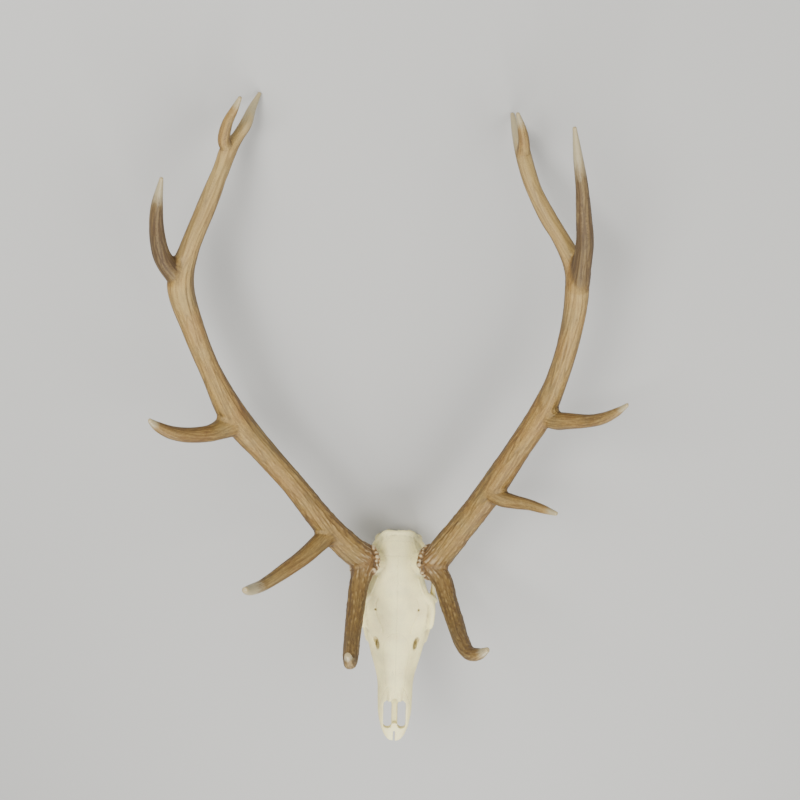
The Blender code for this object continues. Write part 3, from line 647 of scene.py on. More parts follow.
def place_piece(obj, name, made_of, slot, *nodes):
    """Lays a finished piece down with the skull, keeps it in the solids' box, and hands it over."""
    obj.name = name
    obj.data.name = name
    obj.data.transform(SKULL_PLACE)
    points = mesh_points(obj)
    move_points(obj, np.clip(points, np.array(cad_box[0]), np.array(cad_box[1])))
    obj.data.materials.clear()
    obj.data.materials.append(made_of)
    obj.data.shade_smooth()
    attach(obj, "root")
    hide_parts(*nodes)


shapes = [skull_body()]
for mirrored in (False, True):
    shapes += [bar(stations, name, mirrored) for name, stations in BARS.items()]
    shapes += [lump(centre, half, name, 0.0, mirrored) for name, (centre, half) in LUMPS.items()]
skull = fused(joined(shapes, "skull"), CUT_GRAIN, SOFTENING)
holes = [lump(centre, half, name) for name, (centre, half) in MIDDLE_HOLLOWS.items()]
holes += [rounded_opening(*opening) for opening in MUZZLE_OPENINGS]
for mirrored in (False, True):
    for name, (centre, half) in NOTCHES.items():
        holes.append(lump(centre, half, name, 0.0, mirrored))
    for name, (centre, half, turn) in HOLLOWS.items():
        holes.append(lump(centre, half, name, turn, mirrored))
skull = cut_away(skull, fused(joined(holes, "hollows"), HOLLOW_GRAIN, HOLLOW_SOFTENING))
skull = fused(skull, BONE_GRAIN, SOFTENING)
for side in SIDES.values():
    skull = sawn(skull, burr_plane(side, -GAP), -1)

# The plain form gets its surface: seams and vessel grooves cut in, ridges raised, rough patches
# where muscles and antlers were fixed, and the slight unevenness of all grown bone.
UNEVENNESS = ((0.017, 0.00035), (0.006, 0.00012))
ROUGHNESS = ((0.0075, 0.0008), (0.0033, 0.0004))
ROUGH_FROM = 0.05
ROUGH_SEED = 7.0
HOLLOW_ROUNDS = 10
HOLLOW_DEPTH = 0.0011

skull = with_finer_lines(skull, LINE_ROUNDS)
points, normals = mesh_points(skull), mesh_normals(skull)
raised = -line_marks(points, normals)[0]
rough = patch_strength(points, ROUGH_PATCHES)
for size, height in UNEVENNESS:
    raised += height * noise_at(points, size)
rough_ones = rough > ROUGH_FROM
for size, height in ROUGHNESS:
    bumps = noise_at(points[rough_ones], size, ROUGH_SEED)
    raised[rough_ones] += height * rough[rough_ones] * bumps
move_points(skull, points + normals * raised[:, None])
skull = brought_down(skull, BONE_TRIANGLES)
points, normals = mesh_points(skull), mesh_normals(skull)
paint(skull, "skull_place", points)
paint(skull, "seam", line_marks(points, normals)[1])
# How hollow the surface is, for dirt and painted shade in hollows.
paint(skull, "hollow", hollowness(skull, HOLLOW_ROUNDS, HOLLOW_DEPTH))
paint(skull, "stain", patch_strength(points, STAINS))
# The inner walls of hollows and openings, for dirt and painted shade on them.
paint(skull, "inside", hollow_walls(points))

# Materials are made of nodes. Where the sockets of a node share a name they are taken by number:
# in a mix 0 is the share and 6 and 7 are the colours, and in a range 0 is the value, 1 and 2
# are what it runs between, and 3 and 4 what comes out.
MIX, RAMP, NOISE, MATHS = "ShaderNodeMix", "ShaderNodeValToRGB", "ShaderNodeTexNoise", "ShaderNodeMath"
RANGE, ATTRIBUTE, BUMP = "ShaderNodeMapRange", "ShaderNodeAttribute", "ShaderNodeBump"


def add(tree, kind, inputs=None, stops=None, **settings):
    """Adds a node with its settings, its inputs, linked or fixed, and the stops of its ramp."""
    made = tree.nodes.new(kind)
    for name, value in settings.items():
        setattr(made, name, value)
    for name, source in (inputs or {}).items():
        if isinstance(source, bpy.types.NodeSocket):
            tree.links.new(source, made.inputs[name])
        else:
            made.inputs[name].default_value = linear(source) if isinstance(source, str) else source
    for number, (place, colour) in enumerate(stops or []):
        stop = made.color_ramp.elements[number] if number < 2 else made.color_ramp.elements.new(place)
        stop.position = place
        stop.color = linear(colour)
    return made


def every(millimetres):
    """The scale of a pattern whose marks lie this far apart."""
    return 1000 / millimetres


def tinted(tree, colour, tint, source, between, shares, thinned_by=None):
    """A colour with a tint over it, and the tint's share, which goes from one to the other of two
    shares as the source goes between its two values."""
    limits = {1: between[0], 2: between[1], 3: shares[0], 4: shares[1]}
    share = add(tree, RANGE, {0: source, **limits}).outputs[0]
    if thinned_by is not None:
        share = add(tree, MATHS, {0: share, 1: thinned_by}, operation="MULTIPLY").outputs[0]
    return add(tree, MIX, {0: share, 6: colour, 7: tint}, data_type="RGBA").outputs[2], share


def dressed(tree, shader, colour, roughness, height, strength, distance):
    """Joins up a shader: its colour, its roughness, and the relief too fine for the mesh."""
    relief = add(tree, BUMP, {"Strength": strength, "Distance": distance, "Height": height})
    tree.links.new(relief.outputs["Normal"], shader.inputs["Normal"])
    tree.links.new(colour, shader.inputs["Base Color"])
    tree.links.new(roughness, shader.inputs["Roughness"])


# Bleached dry bone: a cream ground that clouds from grey-green to warm ivory, chalky to the eye
# and matt to the touch, with olive-brown dirt in seams and pores that the bleach left, dirt and
# painted shade in hollows, and a painted highlight along the middle of the roof.
bone, tree, shader = new_material("bleached_dry_bone")
marks = {
    name: add(tree, ATTRIBUTE, attribute_name=name).outputs["Fac"]
    for name in ("seam", "hollow", "stain", "inside")
}
place = add(tree, ATTRIBUTE, attribute_name="skull_place").outputs["Vector"]
clouds = {"Vector": place, "Scale": every(62), "Detail": 4.0, "Roughness": 0.55}
clouds = add(tree, NOISE, clouds).outputs["Fac"]
colour = add(
    tree, RAMP, {"Fac": clouds},
    stops=[(0.28, "D6C98F"), (0.43, "E9DC9E"), (0.58, "F8ECA6"), (0.75, "FEF4B0")],
).outputs["Color"]

# The strip along the skull's middle is the brightest, a painted highlight for the top of the roof
# that faces the light; fat that stayed in the bone yellows other places.
across = add(tree, "ShaderNodeSeparateXYZ", {"Vector": place}).outputs["X"]
from_middle = add(tree, MATHS, {0: across}, operation="ABSOLUTE").outputs[0]
colour, _ = tinted(tree, colour, "FFF7B6", from_middle, (0.006, 0.03), (0.55, 0.0))
fat = {"Vector": place, "Scale": every(26), "Detail": 5.0, "Roughness": 0.6}
fat = add(tree, NOISE, fat).outputs["Fac"]
colour, _ = tinted(tree, colour, "EBD69A", fat, (0.52, 0.74), (0.0, 0.45))

# Chalky speckle of about a millimetre, and fibres that run along the skull.
chalk = {"Vector": place, "Scale": every(1.5), "Detail": 5.0, "Roughness": 0.7}
chalk = add(tree, NOISE, chalk).outputs["Fac"]
colour, _ = tinted(tree, colour, "B9B394", chalk, (0.38, 0.62), (0.2, 0.0))
along = {0: place, 1: (1.0, 0.09, 1.0)}
along = add(tree, "ShaderNodeVectorMath", along, operation="MULTIPLY").outputs[0]
fibres = add(tree, NOISE, {"Vector": along, "Scale": every(1.1), "Detail": 3.0}).outputs["Fac"]
colour, _ = tinted(tree, colour, "C4BC9A", fibres, (0.36, 0.5), (0.2, 0.0))

# Pores, as small dark dots, crowd where the clouds are darkest; drying has opened a few cracks.
pores = add(tree, "ShaderNodeTexVoronoi", {"Vector": place, "Scale": every(2.4)}).outputs["Distance"]
crowding = add(tree, RANGE, {0: clouds, 1: 0.38, 2: 0.54, 3: 0.45, 4: 0.0}).outputs[0]
colour, pore = tinted(tree, colour, "7D7048", pores, (0.10, 0.24), (1.0, 0.0), crowding)
bends = add(tree, NOISE, {"Vector": along, "Scale": every(22), "Detail": 5.0}).outputs["Fac"]
off_zero = add(tree, MATHS, {0: bends, 1: 0.5}, operation="SUBTRACT").outputs[0]
off_zero = add(tree, MATHS, {0: off_zero}, operation="ABSOLUTE").outputs[0]
where = add(tree, NOISE, {"Vector": place, "Scale": every(33), "Detail": 3.0}).outputs["Fac"]
where = add(tree, RANGE, {0: where, 1: 0.58, 2: 0.7, 3: 0.0, 4: 1.0}).outputs[0]
colour, crack = tinted(tree, colour, "9C9068", off_zero, (0.0, 0.006), (0.6, 0.0), where)

# Stains and seam dirt lie in patches that the clouds break up, and so do dirt and painted shade
# in hollows and on inner walls; the painted shade makes the inner walls darkest.
patchy = {"Vector": place, "Scale": every(7.7), "Detail": 6.0, "Roughness": 0.65}
patchy = add(tree, NOISE, patchy).outputs["Fac"]
patchy = add(tree, RANGE, {0: patchy, 1: 0.32, 2: 0.62, 3: 0.35, 4: 1.0}).outputs[0]
for mark, most, dirt_and_shade in (
    ("stain", 0.85, "A9A887"), ("inside", 0.55, "A8976A"), ("hollow", 0.8, "8B7B50"),
    ("seam", 0.38, "94855A"),
):
    colour, _ = tinted(tree, colour, dirt_and_shade, marks[mark], (0.08, 1.0), (0.0, most), patchy)

# In the finest relief, chalk and fibres stand up a little, and pores and cracks sink.
height = chalk
for source, strength in ((fibres, 0.5), (pore, -0.8), (crack, -1.0)):
    height = {0: source, 1: strength, 2: height}
    height = add(tree, MATHS, height, operation="MULTIPLY_ADD").outputs[0]
sheen = add(tree, RANGE, {0: clouds, 1: 0.3, 2: 0.7, 3: 0.68, 4: 0.5}).outputs[0]
dressed(tree, shader, colour, sheen, height, 0.45, 0.00035)
shader.inputs["Subsurface Weight"].default_value = 0.12
shader.inputs["Subsurface Radius"].default_value = (1.0, 0.7, 0.4)
shader.inputs["Subsurface Scale"].default_value = 0.003

place_piece(skull, "skull_bone", bone, "bone", "skull")

# Six cheek teeth stand in each jaw, three premolars and three molars. Each has two lobes with
# crescent ridges of hard enamel round softer dentine, worn by grazing, and tartar at the gum line.
# Name, length along the row, crown width, height of the chewing face.
TEETH = [
    ("premolar_1", 0.0165, 0.0150, 0.0015),
    ("premolar_2", 0.0180, 0.0180, 0.0010),
    ("premolar_3", 0.0180, 0.0200, 0.0006),
    ("molar_1", 0.0235, 0.0215, 0.0006),
    ("molar_2", 0.0270, 0.0225, 0.0000),
    ("molar_3", 0.0265, 0.0215, 0.0008),
]
TOOTH_ROW_FRONT = Vector((0.0350, -0.242, 0.0))
TOOTH_ROW_BACK = Vector((0.0445, -0.110, 0.0))
TOOTH_ROOT = 0.036
GUM_LINE = 0.021
ROOT_LENGTH = 0.84
ROOT_WIDTH = 0.80
CROWN_WAIST = 0.84
CROWN_END = 0.93
PIT_DEPTH = 0.0026
DISH_DEPTH = 0.0008
TOOTH_RINGS = 9
CUSP_HEIGHT = 0.0011
EDGE_ROUNDING = 0.0009
CHEWED = 0.01
FACE_CELLS = (32, 24)

# Shares of a lobe half: the bend and the place of the crescent pit, how wide it is, and where it,
# the dished dentine beside it, the worn face, its rounded edge and the folds end or begin.
CRESCENT_BEND = 0.4
CRESCENT_PLACE = 0.12
PIT_WIDTH = 0.16
PIT_ENDS = (0.74, 0.62)
DISH_SIDES = (0.24, 0.34)
DISH_ENDS = (0.82, 0.72)
WORN_END = 0.97
EDGE_FROM = 0.86
FOLD_FROM = 0.8
FOLD_DEPTH = 0.018
FOLDS = 3


def tooth_places():
    """Middle, direction and size of each tooth in the left row."""
    along = (TOOTH_ROW_BACK - TOOTH_ROW_FRONT).normalized()
    used = sum(length for _, length, _, _ in TEETH)
    spare = ((TOOTH_ROW_BACK - TOOTH_ROW_FRONT).length - used) / (len(TEETH) - 1)
    start = 0.0
    for name, length, width, low in TEETH:
        yield name, TOOTH_ROW_FRONT + along * (start + length / 2), along, length, width, low
        start += length + spare


def share_of(value, start, end):
    """How far a value has come from its start to its end, from 0 to 1."""
    return max(0.0, min(1.0, (value - start) / (end - start)))


def tooth(place, along, length, width, low, side, name):
    """One cheek tooth, from its worn chewing face up to its root in the jaw."""
    bm = bmesh.new()
    bmesh.ops.create_grid(bm, x_segments=FACE_CELLS[0], y_segments=FACE_CELLS[1], size=0.5)
    up = bmesh.ops.extrude_face_region(bm, geom=bm.faces[:])
    raised = [v for v in up["geom"] if isinstance(v, bmesh.types.BMVert)]
    bmesh.ops.translate(bm, verts=raised, vec=(0, 0, 1))
    upright = [e for e in bm.edges if abs(e.verts[0].co.z - e.verts[1].co.z) > 0.5]
    bmesh.ops.subdivide_edges(bm, edges=upright, cuts=TOOTH_RINGS, use_grid_fill=True)
    pits, dishes = [], []
    for v in bm.verts:
        x, y, high = v.co
        lobe = math.sin(math.tau * x) ** 2
        in_lobe, from_side = 4 * abs(x) - 1, 2 * y
        crescent = abs(from_side - CRESCENT_BEND * in_lobe * in_lobe + CRESCENT_PLACE)
        rim = max(abs(in_lobe), abs(from_side))
        pit = share_of(crescent, PIT_WIDTH, 0) * share_of(abs(in_lobe), *PIT_ENDS)
        dish = share_of(crescent, *DISH_SIDES) * share_of(rim, *DISH_ENDS)
        worn = high < CHEWED and rim < WORN_END
        pits.append(pit if worn else 0.0)
        dishes.append(dish if worn else 0.0)
        fold = FOLD_DEPTH * math.cos(FOLDS * math.tau * x) * (abs(from_side) > FOLD_FROM)
        v.co.x = x * (1 - (1 - CROWN_END) * from_side * from_side) * (1 - (1 - ROOT_LENGTH) * high)
        v.co.y = y * (CROWN_WAIST + (1 - CROWN_WAIST) * lobe) * (1 - (1 - ROOT_WIDTH) * high)
        v.co.y += math.copysign(fold, y)
        rounded = EDGE_ROUNDING * share_of(rim, EDGE_FROM, 1) if high < CHEWED else 0.0
        cusp = CUSP_HEIGHT * (1 - lobe) * (1 - high)
        v.co.z = low + rounded + cusp + PIT_DEPTH * pits[-1] + DISH_DEPTH * dishes[-1]
        v.co.z += high * (TOOTH_ROOT - low)
    turn = Matrix.Rotation(math.atan2(along.y, along.x), 4, "Z")
    bm.transform(Matrix.Translation(place) @ turn @ Matrix.Diagonal((length, width, 1.0, 1.0)))
    if side < 0:
        bm.transform(Matrix.Diagonal((-1, 1, 1, 1)))
    bmesh.ops.recalc_face_normals(bm, faces=bm.faces)
    made = object_from(bm, name)
    paint(made, "pit", pits)
    paint(made, "dentine", dishes)
    paint(made, "tooth_place", mesh_points(made))
    return made


# Worn tooth enamel: hard, smooth and creamy with fine upright lines; the dentine it wraps is
# honey brown, the pits are black with old food, and brown tartar is crusted near the gum.
enamel, tree, shader = new_material("worn_tooth_enamel")
marks = {
    name: add(tree, ATTRIBUTE, attribute_name=name).outputs["Fac"] for name in ("pit", "dentine")
}
place = add(tree, ATTRIBUTE, attribute_name="tooth_place").outputs["Vector"]
upright = {0: place, 1: (1.0, 1.0, 0.12)}
upright = add(tree, "ShaderNodeVectorMath", upright, operation="MULTIPLY").outputs[0]
lines = add(tree, NOISE, {"Vector": upright, "Scale": every(0.9), "Detail": 4.0}).outputs["Fac"]
colour = add(
    tree, RAMP, {"Fac": lines}, stops=[(0.3, "C9B98E"), (0.5, "E2D7B6"), (0.7, "EFE8D0")],
).outputs["Color"]
high = add(tree, "ShaderNodeSeparateXYZ", {"Vector": place}).outputs["Z"]
crust = {"Vector": place, "Scale": every(3.8), "Detail": 6.0, "Roughness": 0.7}
crust = add(tree, NOISE, crust).outputs["Fac"]
crusted = add(tree, RANGE, {0: crust, 1: 0.42, 2: 0.6, 3: 0.15, 4: 1.0}).outputs[0]
colour, tartar = tinted(tree, colour, "6B4F2B", high, (0.004, GUM_LINE), (0.0, 0.75), crusted)
for mark, most, stain in (("dentine", 0.85, "A67F48"), ("pit", 0.95, "3B2B18")):
    colour, _ = tinted(tree, colour, stain, marks[mark], (0.0, 0.7), (0.0, most))
dull = add(tree, RANGE, {0: tartar, 1: 0.0, 2: 0.6, 3: 0.27, 4: 0.7}).outputs[0]
height = add(tree, MATHS, {0: tartar, 1: 1.5, 2: lines}, operation="MULTIPLY_ADD").outputs[0]
dressed(tree, shader, colour, dull, height, 0.3, 0.0003)

for side_name, side in SIDES.items():
    for name, *shape in tooth_places():
        node = f"{side_name}_{name}"
        place_piece(tooth(*shape, side, node), f"{node}_crown", enamel, "enamel", node)

# Each antler is one grown piece of solid antler: a pearled burr on the pedicle, a beam that
# sweeps back, and five tines. It is brown and grooved where velvet vessels ran, and rubbed to
# ivory at the tips.
BURR_RADIUS = 0.0325
BURR_THICKNESS = 0.0075
BURR_RISE = 0.006
PEARL_ROWS = [
    (21, (0.0315, 0.0355), (-0.0020, 0.0020), (0.0052, 0.0075)),
    (29, (0.0345, 0.0385), (-0.0045, -0.0010), (0.0028, 0.0044)),
    (27, (0.0350, 0.0390), (0.0020, 0.0062), (0.0028, 0.0046)),
]
PEARL_DRIFT = 0.25
PEARL_SEEDS = {"right": 11, "left": 23}
ANTLER_GRAIN = 0.0016

# Both antlers leave the skull through these stations: x, y, z and radius in millimetres, on the
# animal's left.
BEAM_SEAT = [(56, -2, 150, 29), (69, 1, 166, 30), (83, 14, 183, 30.5)]
BROW_SEAT = [(72, -4, 178, 25.5)]

# Beams and tines beyond the seat. Each station is read off the photograph as a pixel column
# and row, with its height above the chewing face and its radius in millimetres.
ANTLERS = {
    "right": {
        "beam": [
            (351, 549, 201, 29.5), (326, 525, 240, 27.5), (295, 486.5, 300, 24.5), (265, 452.5, 350, 25),
            (234, 416, 405, 28.5), (212, 374, 465, 21.5), (194, 331, 520, 22), (180.5, 285, 570, 25.5),
            (190, 247, 592, 19), (207, 205, 605, 18), (221, 170, 606, 15.5), (228.5, 150, 604, 16),
            (237.5, 137, 600, 11.5), (246, 123.5, 600, 11.5), (252, 108.5, 596, 8), (260, 92.5, 588, 3.5),
        ],
        "brow": [
            (359, 584, 205, 21.5), (356, 605, 240, 19.5), (353, 630, 290, 18), (351, 652, 345, 17),
            (350, 663, 385, 13.5), (347.5, 655, 425, 6),
        ],
        "bez": [
            (331, 530, 230, 25), (321, 541, 255, 20), (303.5, 557, 295, 17.5), (283.5, 571.5, 340, 15.5),
            (263, 585, 385, 12.5), (250, 590, 420, 11), (244.5, 590, 445, 6),
        ],
        "trez": [
            (230, 424, 405, 27.5), (218, 430.5, 430, 19.5), (206, 434, 455, 16.5), (187, 435, 495, 15),
            (171, 432.5, 530, 13), (157.5, 426.5, 560, 9.5), (149, 420, 585, 4),
        ],
        "royal": [
            (178, 277, 575, 21.5), (166, 263, 610, 18), (160, 250, 645, 16), (156.5, 228, 700, 13.5),
            (157, 205, 755, 10.5), (161.5, 178, 815, 3.5),
        ],
        "surroyal": [
            (228.5, 150, 604, 12.5), (224, 140, 625, 12), (227, 124, 655, 10), (234, 110, 680, 7.5),
            (240.5, 97, 700, 3.5),
        ],
    },
    "left": {
        "beam": [
            (448.5, 543.5, 201, 30), (471, 516, 240, 28), (493, 486.5, 290, 28), (517.5, 450, 345, 25.5),
            (542, 412.5, 400, 25.5), (559, 374, 460, 21.5), (571.5, 329.5, 520, 21.5), (577, 290, 565, 23),
            (574, 265, 585, 20), (560.5, 238, 600, 16), (548, 217.5, 606, 16), (535.5, 193, 606, 14.5),
            (528, 172, 602, 15), (522, 149, 592, 14.5), (516, 130, 580, 9), (512, 113, 569, 3.5),
        ],
        "brow": [
            (443, 582, 205, 21.5), (448.5, 602, 240, 19.5), (455.5, 623, 285, 18.5), (461.5, 641, 335, 17),
            (469, 653, 375, 14.5), (479, 654, 405, 12), (488, 649.5, 430, 5),
        ],
        "bez": [
            (490, 491, 290, 21.5), (502, 498.5, 310, 17.5), (515, 502, 330, 14.5), (530, 505, 355, 11.5),
            (544, 509.5, 380, 9), (557, 514, 400, 4.5),
        ],
        "trez": [
            (546, 416, 395, 22.5), (557, 420.5, 420, 19), (568, 421, 445, 16.5), (588, 421, 485, 13),
            (602.5, 418.5, 520, 11.5), (616, 412.5, 555, 8.5), (628, 404.5, 590, 3.5),
        ],
        "royal": [
            (579, 285, 570, 20.5), (582.5, 262, 615, 18), (585, 240, 655, 16.5), (584, 218, 700, 14.5),
            (582, 187, 755, 11.5), (578, 157, 800, 8.5), (574.5, 127, 840, 3.5),
        ],
        "surroyal": [
            (523.5, 155, 598, 13), (524, 141, 620, 10.5), (521.5, 127, 645, 8), (517.5, 113, 668, 3.5),
        ],
    },
}


def burr(name):
    """The pearled ring at the antler's foot, as a list of shapes."""
    draw = random.Random(PEARL_SEEDS[name])
    plane = burr_plane(SIDES[name], BURR_RISE)
    shapes = []
    for count, reaches, rises, sizes in PEARL_ROWS:
        for i in range(count):
            angle = math.tau * (i + draw.uniform(-PEARL_DRIFT, PEARL_DRIFT)) / count
            reach = draw.uniform(*reaches)
            place = Vector((reach * math.cos(angle), reach * math.sin(angle), draw.uniform(*rises)))
            size = draw.uniform(*sizes)
            shapes.append(lump(plane @ place, (size, size, size), "pearl"))
    bm = bmesh.new()
    bmesh.ops.create_cone(
        bm, cap_ends=True, segments=32, radius1=BURR_RADIUS, radius2=BURR_RADIUS, depth=BURR_THICKNESS
    )
    bm.transform(plane)
    shapes.append(object_from(bm, "ring"))
    return shapes


def seen_at(column, row, height, radius):
    """The place in the skull's frame of what the photograph shows at a pixel, and its radius."""
    right, down = column - MIDDLE_PIXEL, row - MIDDLE_PIXEL
    size = (VIEW_HEIGHT - height / 1000) / FOCAL_PIXELS
    across = right * math.cos(VIEW_TURN) + down * math.sin(VIEW_TURN)
    back = down * math.cos(VIEW_TURN) - right * math.sin(VIEW_TURN)
    return VIEW_X + across * size, VIEW_Y - back * size, height / 1000, radius / 1000


def branch_stations(name):
    """The stations of one antler's beam and tines, from the skull outwards."""
    branches = {}
    for branch, stations in ANTLERS[name].items():
        seat = {"beam": BEAM_SEAT, "brow": BROW_SEAT}.get(branch, [])
        branches[branch] = [
            (SIDES[name] * x / 1000, y / 1000, z / 1000, radius / 1000) for x, y, z, radius in seat
        ]
        branches[branch] += [seen_at(*station) for station in stations]
    return branches


# The surface follows each branch: grooves that the velvet's vessels left run along it, pearls
# crowd its lower part, and both fade where the tip is rubbed smooth and pale. Share of each
# branch that is rubbed, depths and pearl size in metres.
RUBBED = {
    "right": {"beam": 0.10, "brow": 0.08, "bez": 0.34, "trez": 0.16, "royal": 0.34, "surroyal": 0.3},
    "left": {"beam": 0.13, "brow": 0.12, "bez": 0.2, "trez": 0.18, "royal": 0.42, "surroyal": 0.5},
}
# How much darker each branch is than the rest at its foot and at its tip; below 0 is paler.
SHADES = {
    "beam": (0.27, -0.7), "brow": (0.63, 0.46), "bez": (0.4, 0.15), "trez": (0.15, 0.28),
    "royal": (1.0, 1.0), "surroyal": (-0.2, 0.1),
}
GROOVE_DEPTH = 0.0009
STRIPE_DEPTH = 0.0003
PEARL_HEIGHT = 0.0013
PEARL_PITCH = 0.0075
PEARLED_LENGTH = 0.42
PEARLED_START = 1.3
PEARL_STRETCH = 0.42
PEARL_REACH = 0.5
LEAST_PEARLED = 0.02
ANTLER_TRIANGLES = 190000
FORK_REACH = 1.55
POLISHED_AWAY = 0.92
SHADE_CURVE = 1.5
LEAST_WEIGHT = 1e-5

# Marks along a branch as noise: turns round it, changes in a metre, and start in the noise. Then
# the width and strength of both kinds of groove, what a stripe sinks by, and the radius from
# which marks have their full depth.
WIDE_GROOVES = (1.9, 8, (0, 0))
FINE_GROOVES = (3.4, 13, (9, 0))
STRIPES = (8.5, 30, (0, 5))
GROOVE_WIDTHS = (0.17, 0.2)
GROOVE_STRENGTHS = (1.0, 0.7)
STRIPE_SINK = 0.35
FULL_DEPTH_RADIUS = 0.022


def along_branches(points, branches):
    """For each branch: its weight at every point, two offsets across it, and the way along it."""
    for branch, stations in branches.items():
        path = smooth_points(stations)
        places = np.array([point[:3] for point in path])
        radii = np.array([point[3] for point in path])
        steps = np.diff(places, axis=0)
        walked = np.concatenate([[0], np.cumsum(np.linalg.norm(steps, axis=1))])
        ways = np.vstack([steps, steps[-1:]])
        ways /= np.linalg.norm(ways, axis=1)[:, None]
        side = np.array(Vector(ways[0]).orthogonal())
        sides = []
        for way in ways:
            side = side - way * (side @ way)
            side /= np.linalg.norm(side)
            sides.append(side)
        sides = np.array(sides)
        nearest = np.concatenate([
            ((part[:, None] - places[None]) ** 2).sum(2).argmin(1) for part in np.array_split(points, 60)
        ])
        offset = points - places[nearest]
        way, side = ways[nearest], sides[nearest]
        u, v = (offset * side).sum(1), (offset * np.cross(way, side)).sum(1)
        past = (offset * way).sum(1)
        before_start = np.maximum(0, -past) * (nearest == 0)
        ratio = (np.hypot(u, v) + before_start) / radii[nearest]
        weight = np.clip(FORK_REACH - ratio, 0, 1) ** 3 + 1e-9 / (1 + ratio)
        yield branch, weight, u, v, walked[nearest] + past, walked[-1]


def branch_surface(u, v, along, pearled):
    """Height of the surface over the plain branch, its groove and stripe values, at one point."""
    away = math.hypot(u, v) + 1e-6
    marks = [
        noise.noise(Vector((turns * u / away + right, turns * v / away + up, along * changes)))
        for turns, changes, (right, up) in (WIDE_GROOVES, FINE_GROOVES, STRIPES)
    ]
    groove = max(0.0, *(
        strength - abs(mark) / width
        for mark, width, strength in zip(marks, GROOVE_WIDTHS, GROOVE_STRENGTHS)
    ))
    groove = groove * groove * (3 - 2 * groove)
    pearl = 0.0
    if pearled > LEAST_PEARLED:
        spot = Vector((u, v, along * PEARL_STRETCH)) / PEARL_PITCH
        pearl = pearled * max(0.0, 1 - noise.voronoi(spot)[0][0] / PEARL_REACH)
    height = STRIPE_DEPTH * (marks[2] - STRIPE_SINK) - GROOVE_DEPTH * groove
    return min(1.0, away / FULL_DEPTH_RADIUS) * height + PEARL_HEIGHT * pearl, groove, marks[2]


def antler_surface(points, name, branches):
    """The surface values of one antler: height, groove, stripe, rubbed, shade, and grain places."""
    total = np.zeros(len(points))
    values = np.zeros((5, len(points)))
    grain = np.zeros((len(points), 3))
    best = np.zeros(len(points))
    for number, (branch, weight, u, v, along, length) in enumerate(along_branches(points, branches)):
        share = RUBBED[name][branch]
        rubbed = np.clip((along / length - (1 - share)) / share, 0, 1)
        rubbed = rubbed * rubbed * (3 - 2 * rubbed)
        pearled = np.clip(PEARLED_START - along / PEARLED_LENGTH, 0, 1) * (1 - rubbed)
        pearled *= branch in ("beam", "brow")
        for i in np.flatnonzero(weight > LEAST_WEIGHT):
            found = branch_surface(u[i], v[i], along[i] + number, pearled[i])
            values[:3, i] += weight[i] * (1 - POLISHED_AWAY * rubbed[i]) * np.array(found)
        values[3] += weight * rubbed
        foot, tip = SHADES[branch]
        values[4] += weight * (foot + (tip - foot) * np.clip(along / length, 0, 1) ** SHADE_CURVE)
        total += weight
        closer = weight > best
        best[closer] = weight[closer]
        grain[closer] = np.stack([u, v, along + number], 1)[closer]
    return *(values / total), grain


# Weathered antler: silky to dull, golden brown on its ridges and dark in its grooves, where dried
# blood and bark stayed; fighting and rubbing have polished the tips through to ivory.
antler_bone, tree, shader = new_material("weathered_antler")
marks = {
    name: add(tree, ATTRIBUTE, attribute_name=name).outputs["Fac"]
    for name in ("groove", "stripe", "rubbed", "shade", "front", "hollow", "foot")
}
grain = add(tree, ATTRIBUTE, attribute_name="grain").outputs["Vector"]
streaked = []
for stretch, spacing in ((0.14, 2.4), (0.22, 0.9)):
    drawn = {0: grain, 1: (1.0, 1.0, stretch)}
    drawn = add(tree, "ShaderNodeVectorMath", drawn, operation="MULTIPLY").outputs[0]
    streaks = {"Vector": drawn, "Scale": every(spacing), "Detail": 5.0, "Roughness": 0.6}
    streaked.append(add(tree, NOISE, streaks).outputs["Fac"])
tone = streaked[0]
for source, strength in ((streaked[1], 1.0), (marks["stripe"], 0.13)):
    tone = {0: source, 1: strength, 2: tone}
    tone = add(tree, MATHS, tone, operation="MULTIPLY_ADD").outputs[0]
tone = add(tree, RANGE, {0: tone, 1: 0.60, 2: 1.40, 3: 0.0, 4: 1.0}).outputs[0]
colour = add(
    tree, RAMP, {"Fac": tone},
    stops=[(0.1, "4E3616"), (0.32, "6C4F24"), (0.54, "84652B"), (0.76, "9B7C3C"), (0.95, "AE904F")],
).outputs["Color"]

# Broad patches are redder or greyer, as the bark of different trees stained them. The royals and
# brow tines are darker and the upper beams paler. The side facing the camera gets a painted
# highlight, and the edges that turn away from it get painted shade.
patches = add(tree, NOISE, {"Vector": grain, "Scale": every(59), "Detail": 3.0}).outputs["Fac"]
flecks = add(tree, NOISE, {"Vector": grain, "Scale": every(0.8), "Detail": 2.0}).outputs["Fac"]
for source, between, shares, tint in (
    (patches, (0.48, 0.7), (0.0, 0.4), "784B1E"), (patches, (0.5, 0.3), (0.0, 0.4), "756A45"),
    (marks["shade"], (0.0, 1.0), (0.0, 0.86), "423017"),
    (marks["shade"], (0.0, -1.0), (0.0, 0.75), "C2A870"),
    (marks["front"], (0.55, 0.98), (0.0, 0.38), "A88B48"),
    (marks["front"], (0.66, -0.1), (0.0, 0.76), "452E11"),
    (flecks, (0.36, 0.44), (0.4, 0.0), "4A331B"),
):
    colour, _ = tinted(tree, colour, tint, source, between, shares)
colour, foot = tinted(tree, colour, "6E4527", marks["foot"], (0.0, 1.0), (0.0, 0.5))
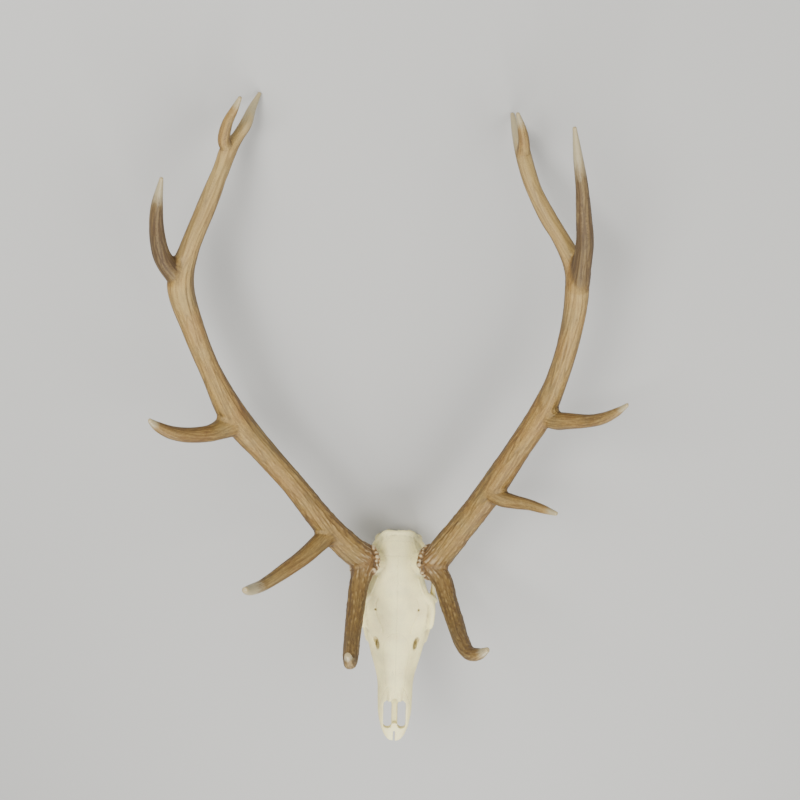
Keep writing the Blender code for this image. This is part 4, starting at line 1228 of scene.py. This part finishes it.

# Rubbed ivory breaks through in lengthwise streaks before it covers the tip. Grooves hold dark
# dirt, and hollows, such as the gaps between the pearls and the forks, hold the darkest dirt with
# painted shade; the pearls of the burr are rubbed pale.
edge = add(tree, MATHS, {0: streaked[0], 1: 0.9, 2: marks["rubbed"]}, operation="MULTIPLY_ADD")
pale = {0: streaked[1], 6: "7D7459", 7: "A9A183"}
pale = add(tree, MIX, pale, data_type="RGBA").outputs[2]
colour, ivory = tinted(tree, colour, pale, edge.outputs[0], (0.68, 1.15), (0.0, 0.92))
for mark, between, most, tint in (
    ("groove", (0.05, 0.95), 0.3, "34220D"), ("hollow", (0.1, 0.9), 0.65, "2C1C0A"),
    ("hollow", (-0.25, -1.0), 0.35, "C2A76C"),
):
    colour, _ = tinted(tree, colour, tint, marks[mark], between, (0.0, most))
colour, _ = tinted(tree, colour, "CDBE9C", marks["hollow"], (-0.1, -0.8), (0.0, 1.5), foot)
polish = add(tree, RANGE, {0: ivory, 1: 0.0, 2: 0.9, 3: 0.6, 4: 0.36}).outputs[0]
uneven = {0: streaked[1], 1: 0.8, 2: streaked[0]}
uneven = add(tree, MATHS, uneven, operation="MULTIPLY_ADD").outputs[0]
dressed(tree, shader, colour, polish, uneven, 0.5, 0.0006)

ANTLER_NODES = (
    "beam_base", "beam_middle", "beam_top", "brow_tine", "bez_tine", "trez_tine", "royal_tine",
    "surroyal_tine",
)

# The antler's foot takes in the burr and fades out at FOOT_END times its reach. The forks' fillets
# set in by FORK_FADE times the distance in reaches, less FORK_START.
FOOT_REACH = 0.042
FOOT_END = 1.6
FORK_START = 2.8
FORK_FADE = 3
FILLET_ROUNDS = 6
FILLET_SPREAD = 120
GAP_ROUNDS = 8
GAP_DEPTH = 0.0012

for name, side in SIDES.items():
    branches = branch_stations(name)
    shapes = [bar(stations, branch) for branch, stations in branches.items()] + burr(name)
    antler = sawn(fused(joined(shapes, name), ANTLER_GRAIN, SOFTENING), burr_plane(side, 0.0), 1)
    foot_middle = np.array(burr_plane(side, 0.0).translation)
    from_foot = np.linalg.norm(mesh_points(antler) - foot_middle, axis=1)
    on_fork = np.clip(FORK_FADE * from_foot / FOOT_REACH - FORK_START, 0, 1)
    for _ in range(FILLET_ROUNDS):
        points = mesh_points(antler)
        normals = mesh_normals(antler)
        sunk = ((evened(points, antler, FILLET_SPREAD) - points) * normals).sum(1)
        move_points(antler, points + normals * (np.maximum(0, sunk) * on_fork)[:, None])
    points = mesh_points(antler)
    raised = antler_surface(points, name, branches)[0]
    move_points(antler, points + mesh_normals(antler) * raised[:, None])
    antler = brought_down(antler, ANTLER_TRIANGLES)
    points = mesh_points(antler)
    surface = antler_surface(points, name, branches)[1:]
    for mark, values in zip(("groove", "stripe", "rubbed", "shade", "grain"), surface):
        paint(antler, mark, values)
    # Which way the surface faces the camera, for the painted highlight and painted shade.
    paint(antler, "front", mesh_normals(antler)[:, 2])
    # How hollow the surface is, for dirt and painted shade in the forks and between the pearls.
    paint(antler, "hollow", hollowness(antler, GAP_ROUNDS, GAP_DEPTH))
    from_foot = np.linalg.norm(points - foot_middle, axis=1)
    paint(antler, "foot", np.clip(FOOT_END - from_foot / FOOT_REACH, 0, 1))
    place_piece(
        antler, f"{name}_antler", antler_bone, "antler", *[f"{name}_{node}" for node in ANTLER_NODES]
    )
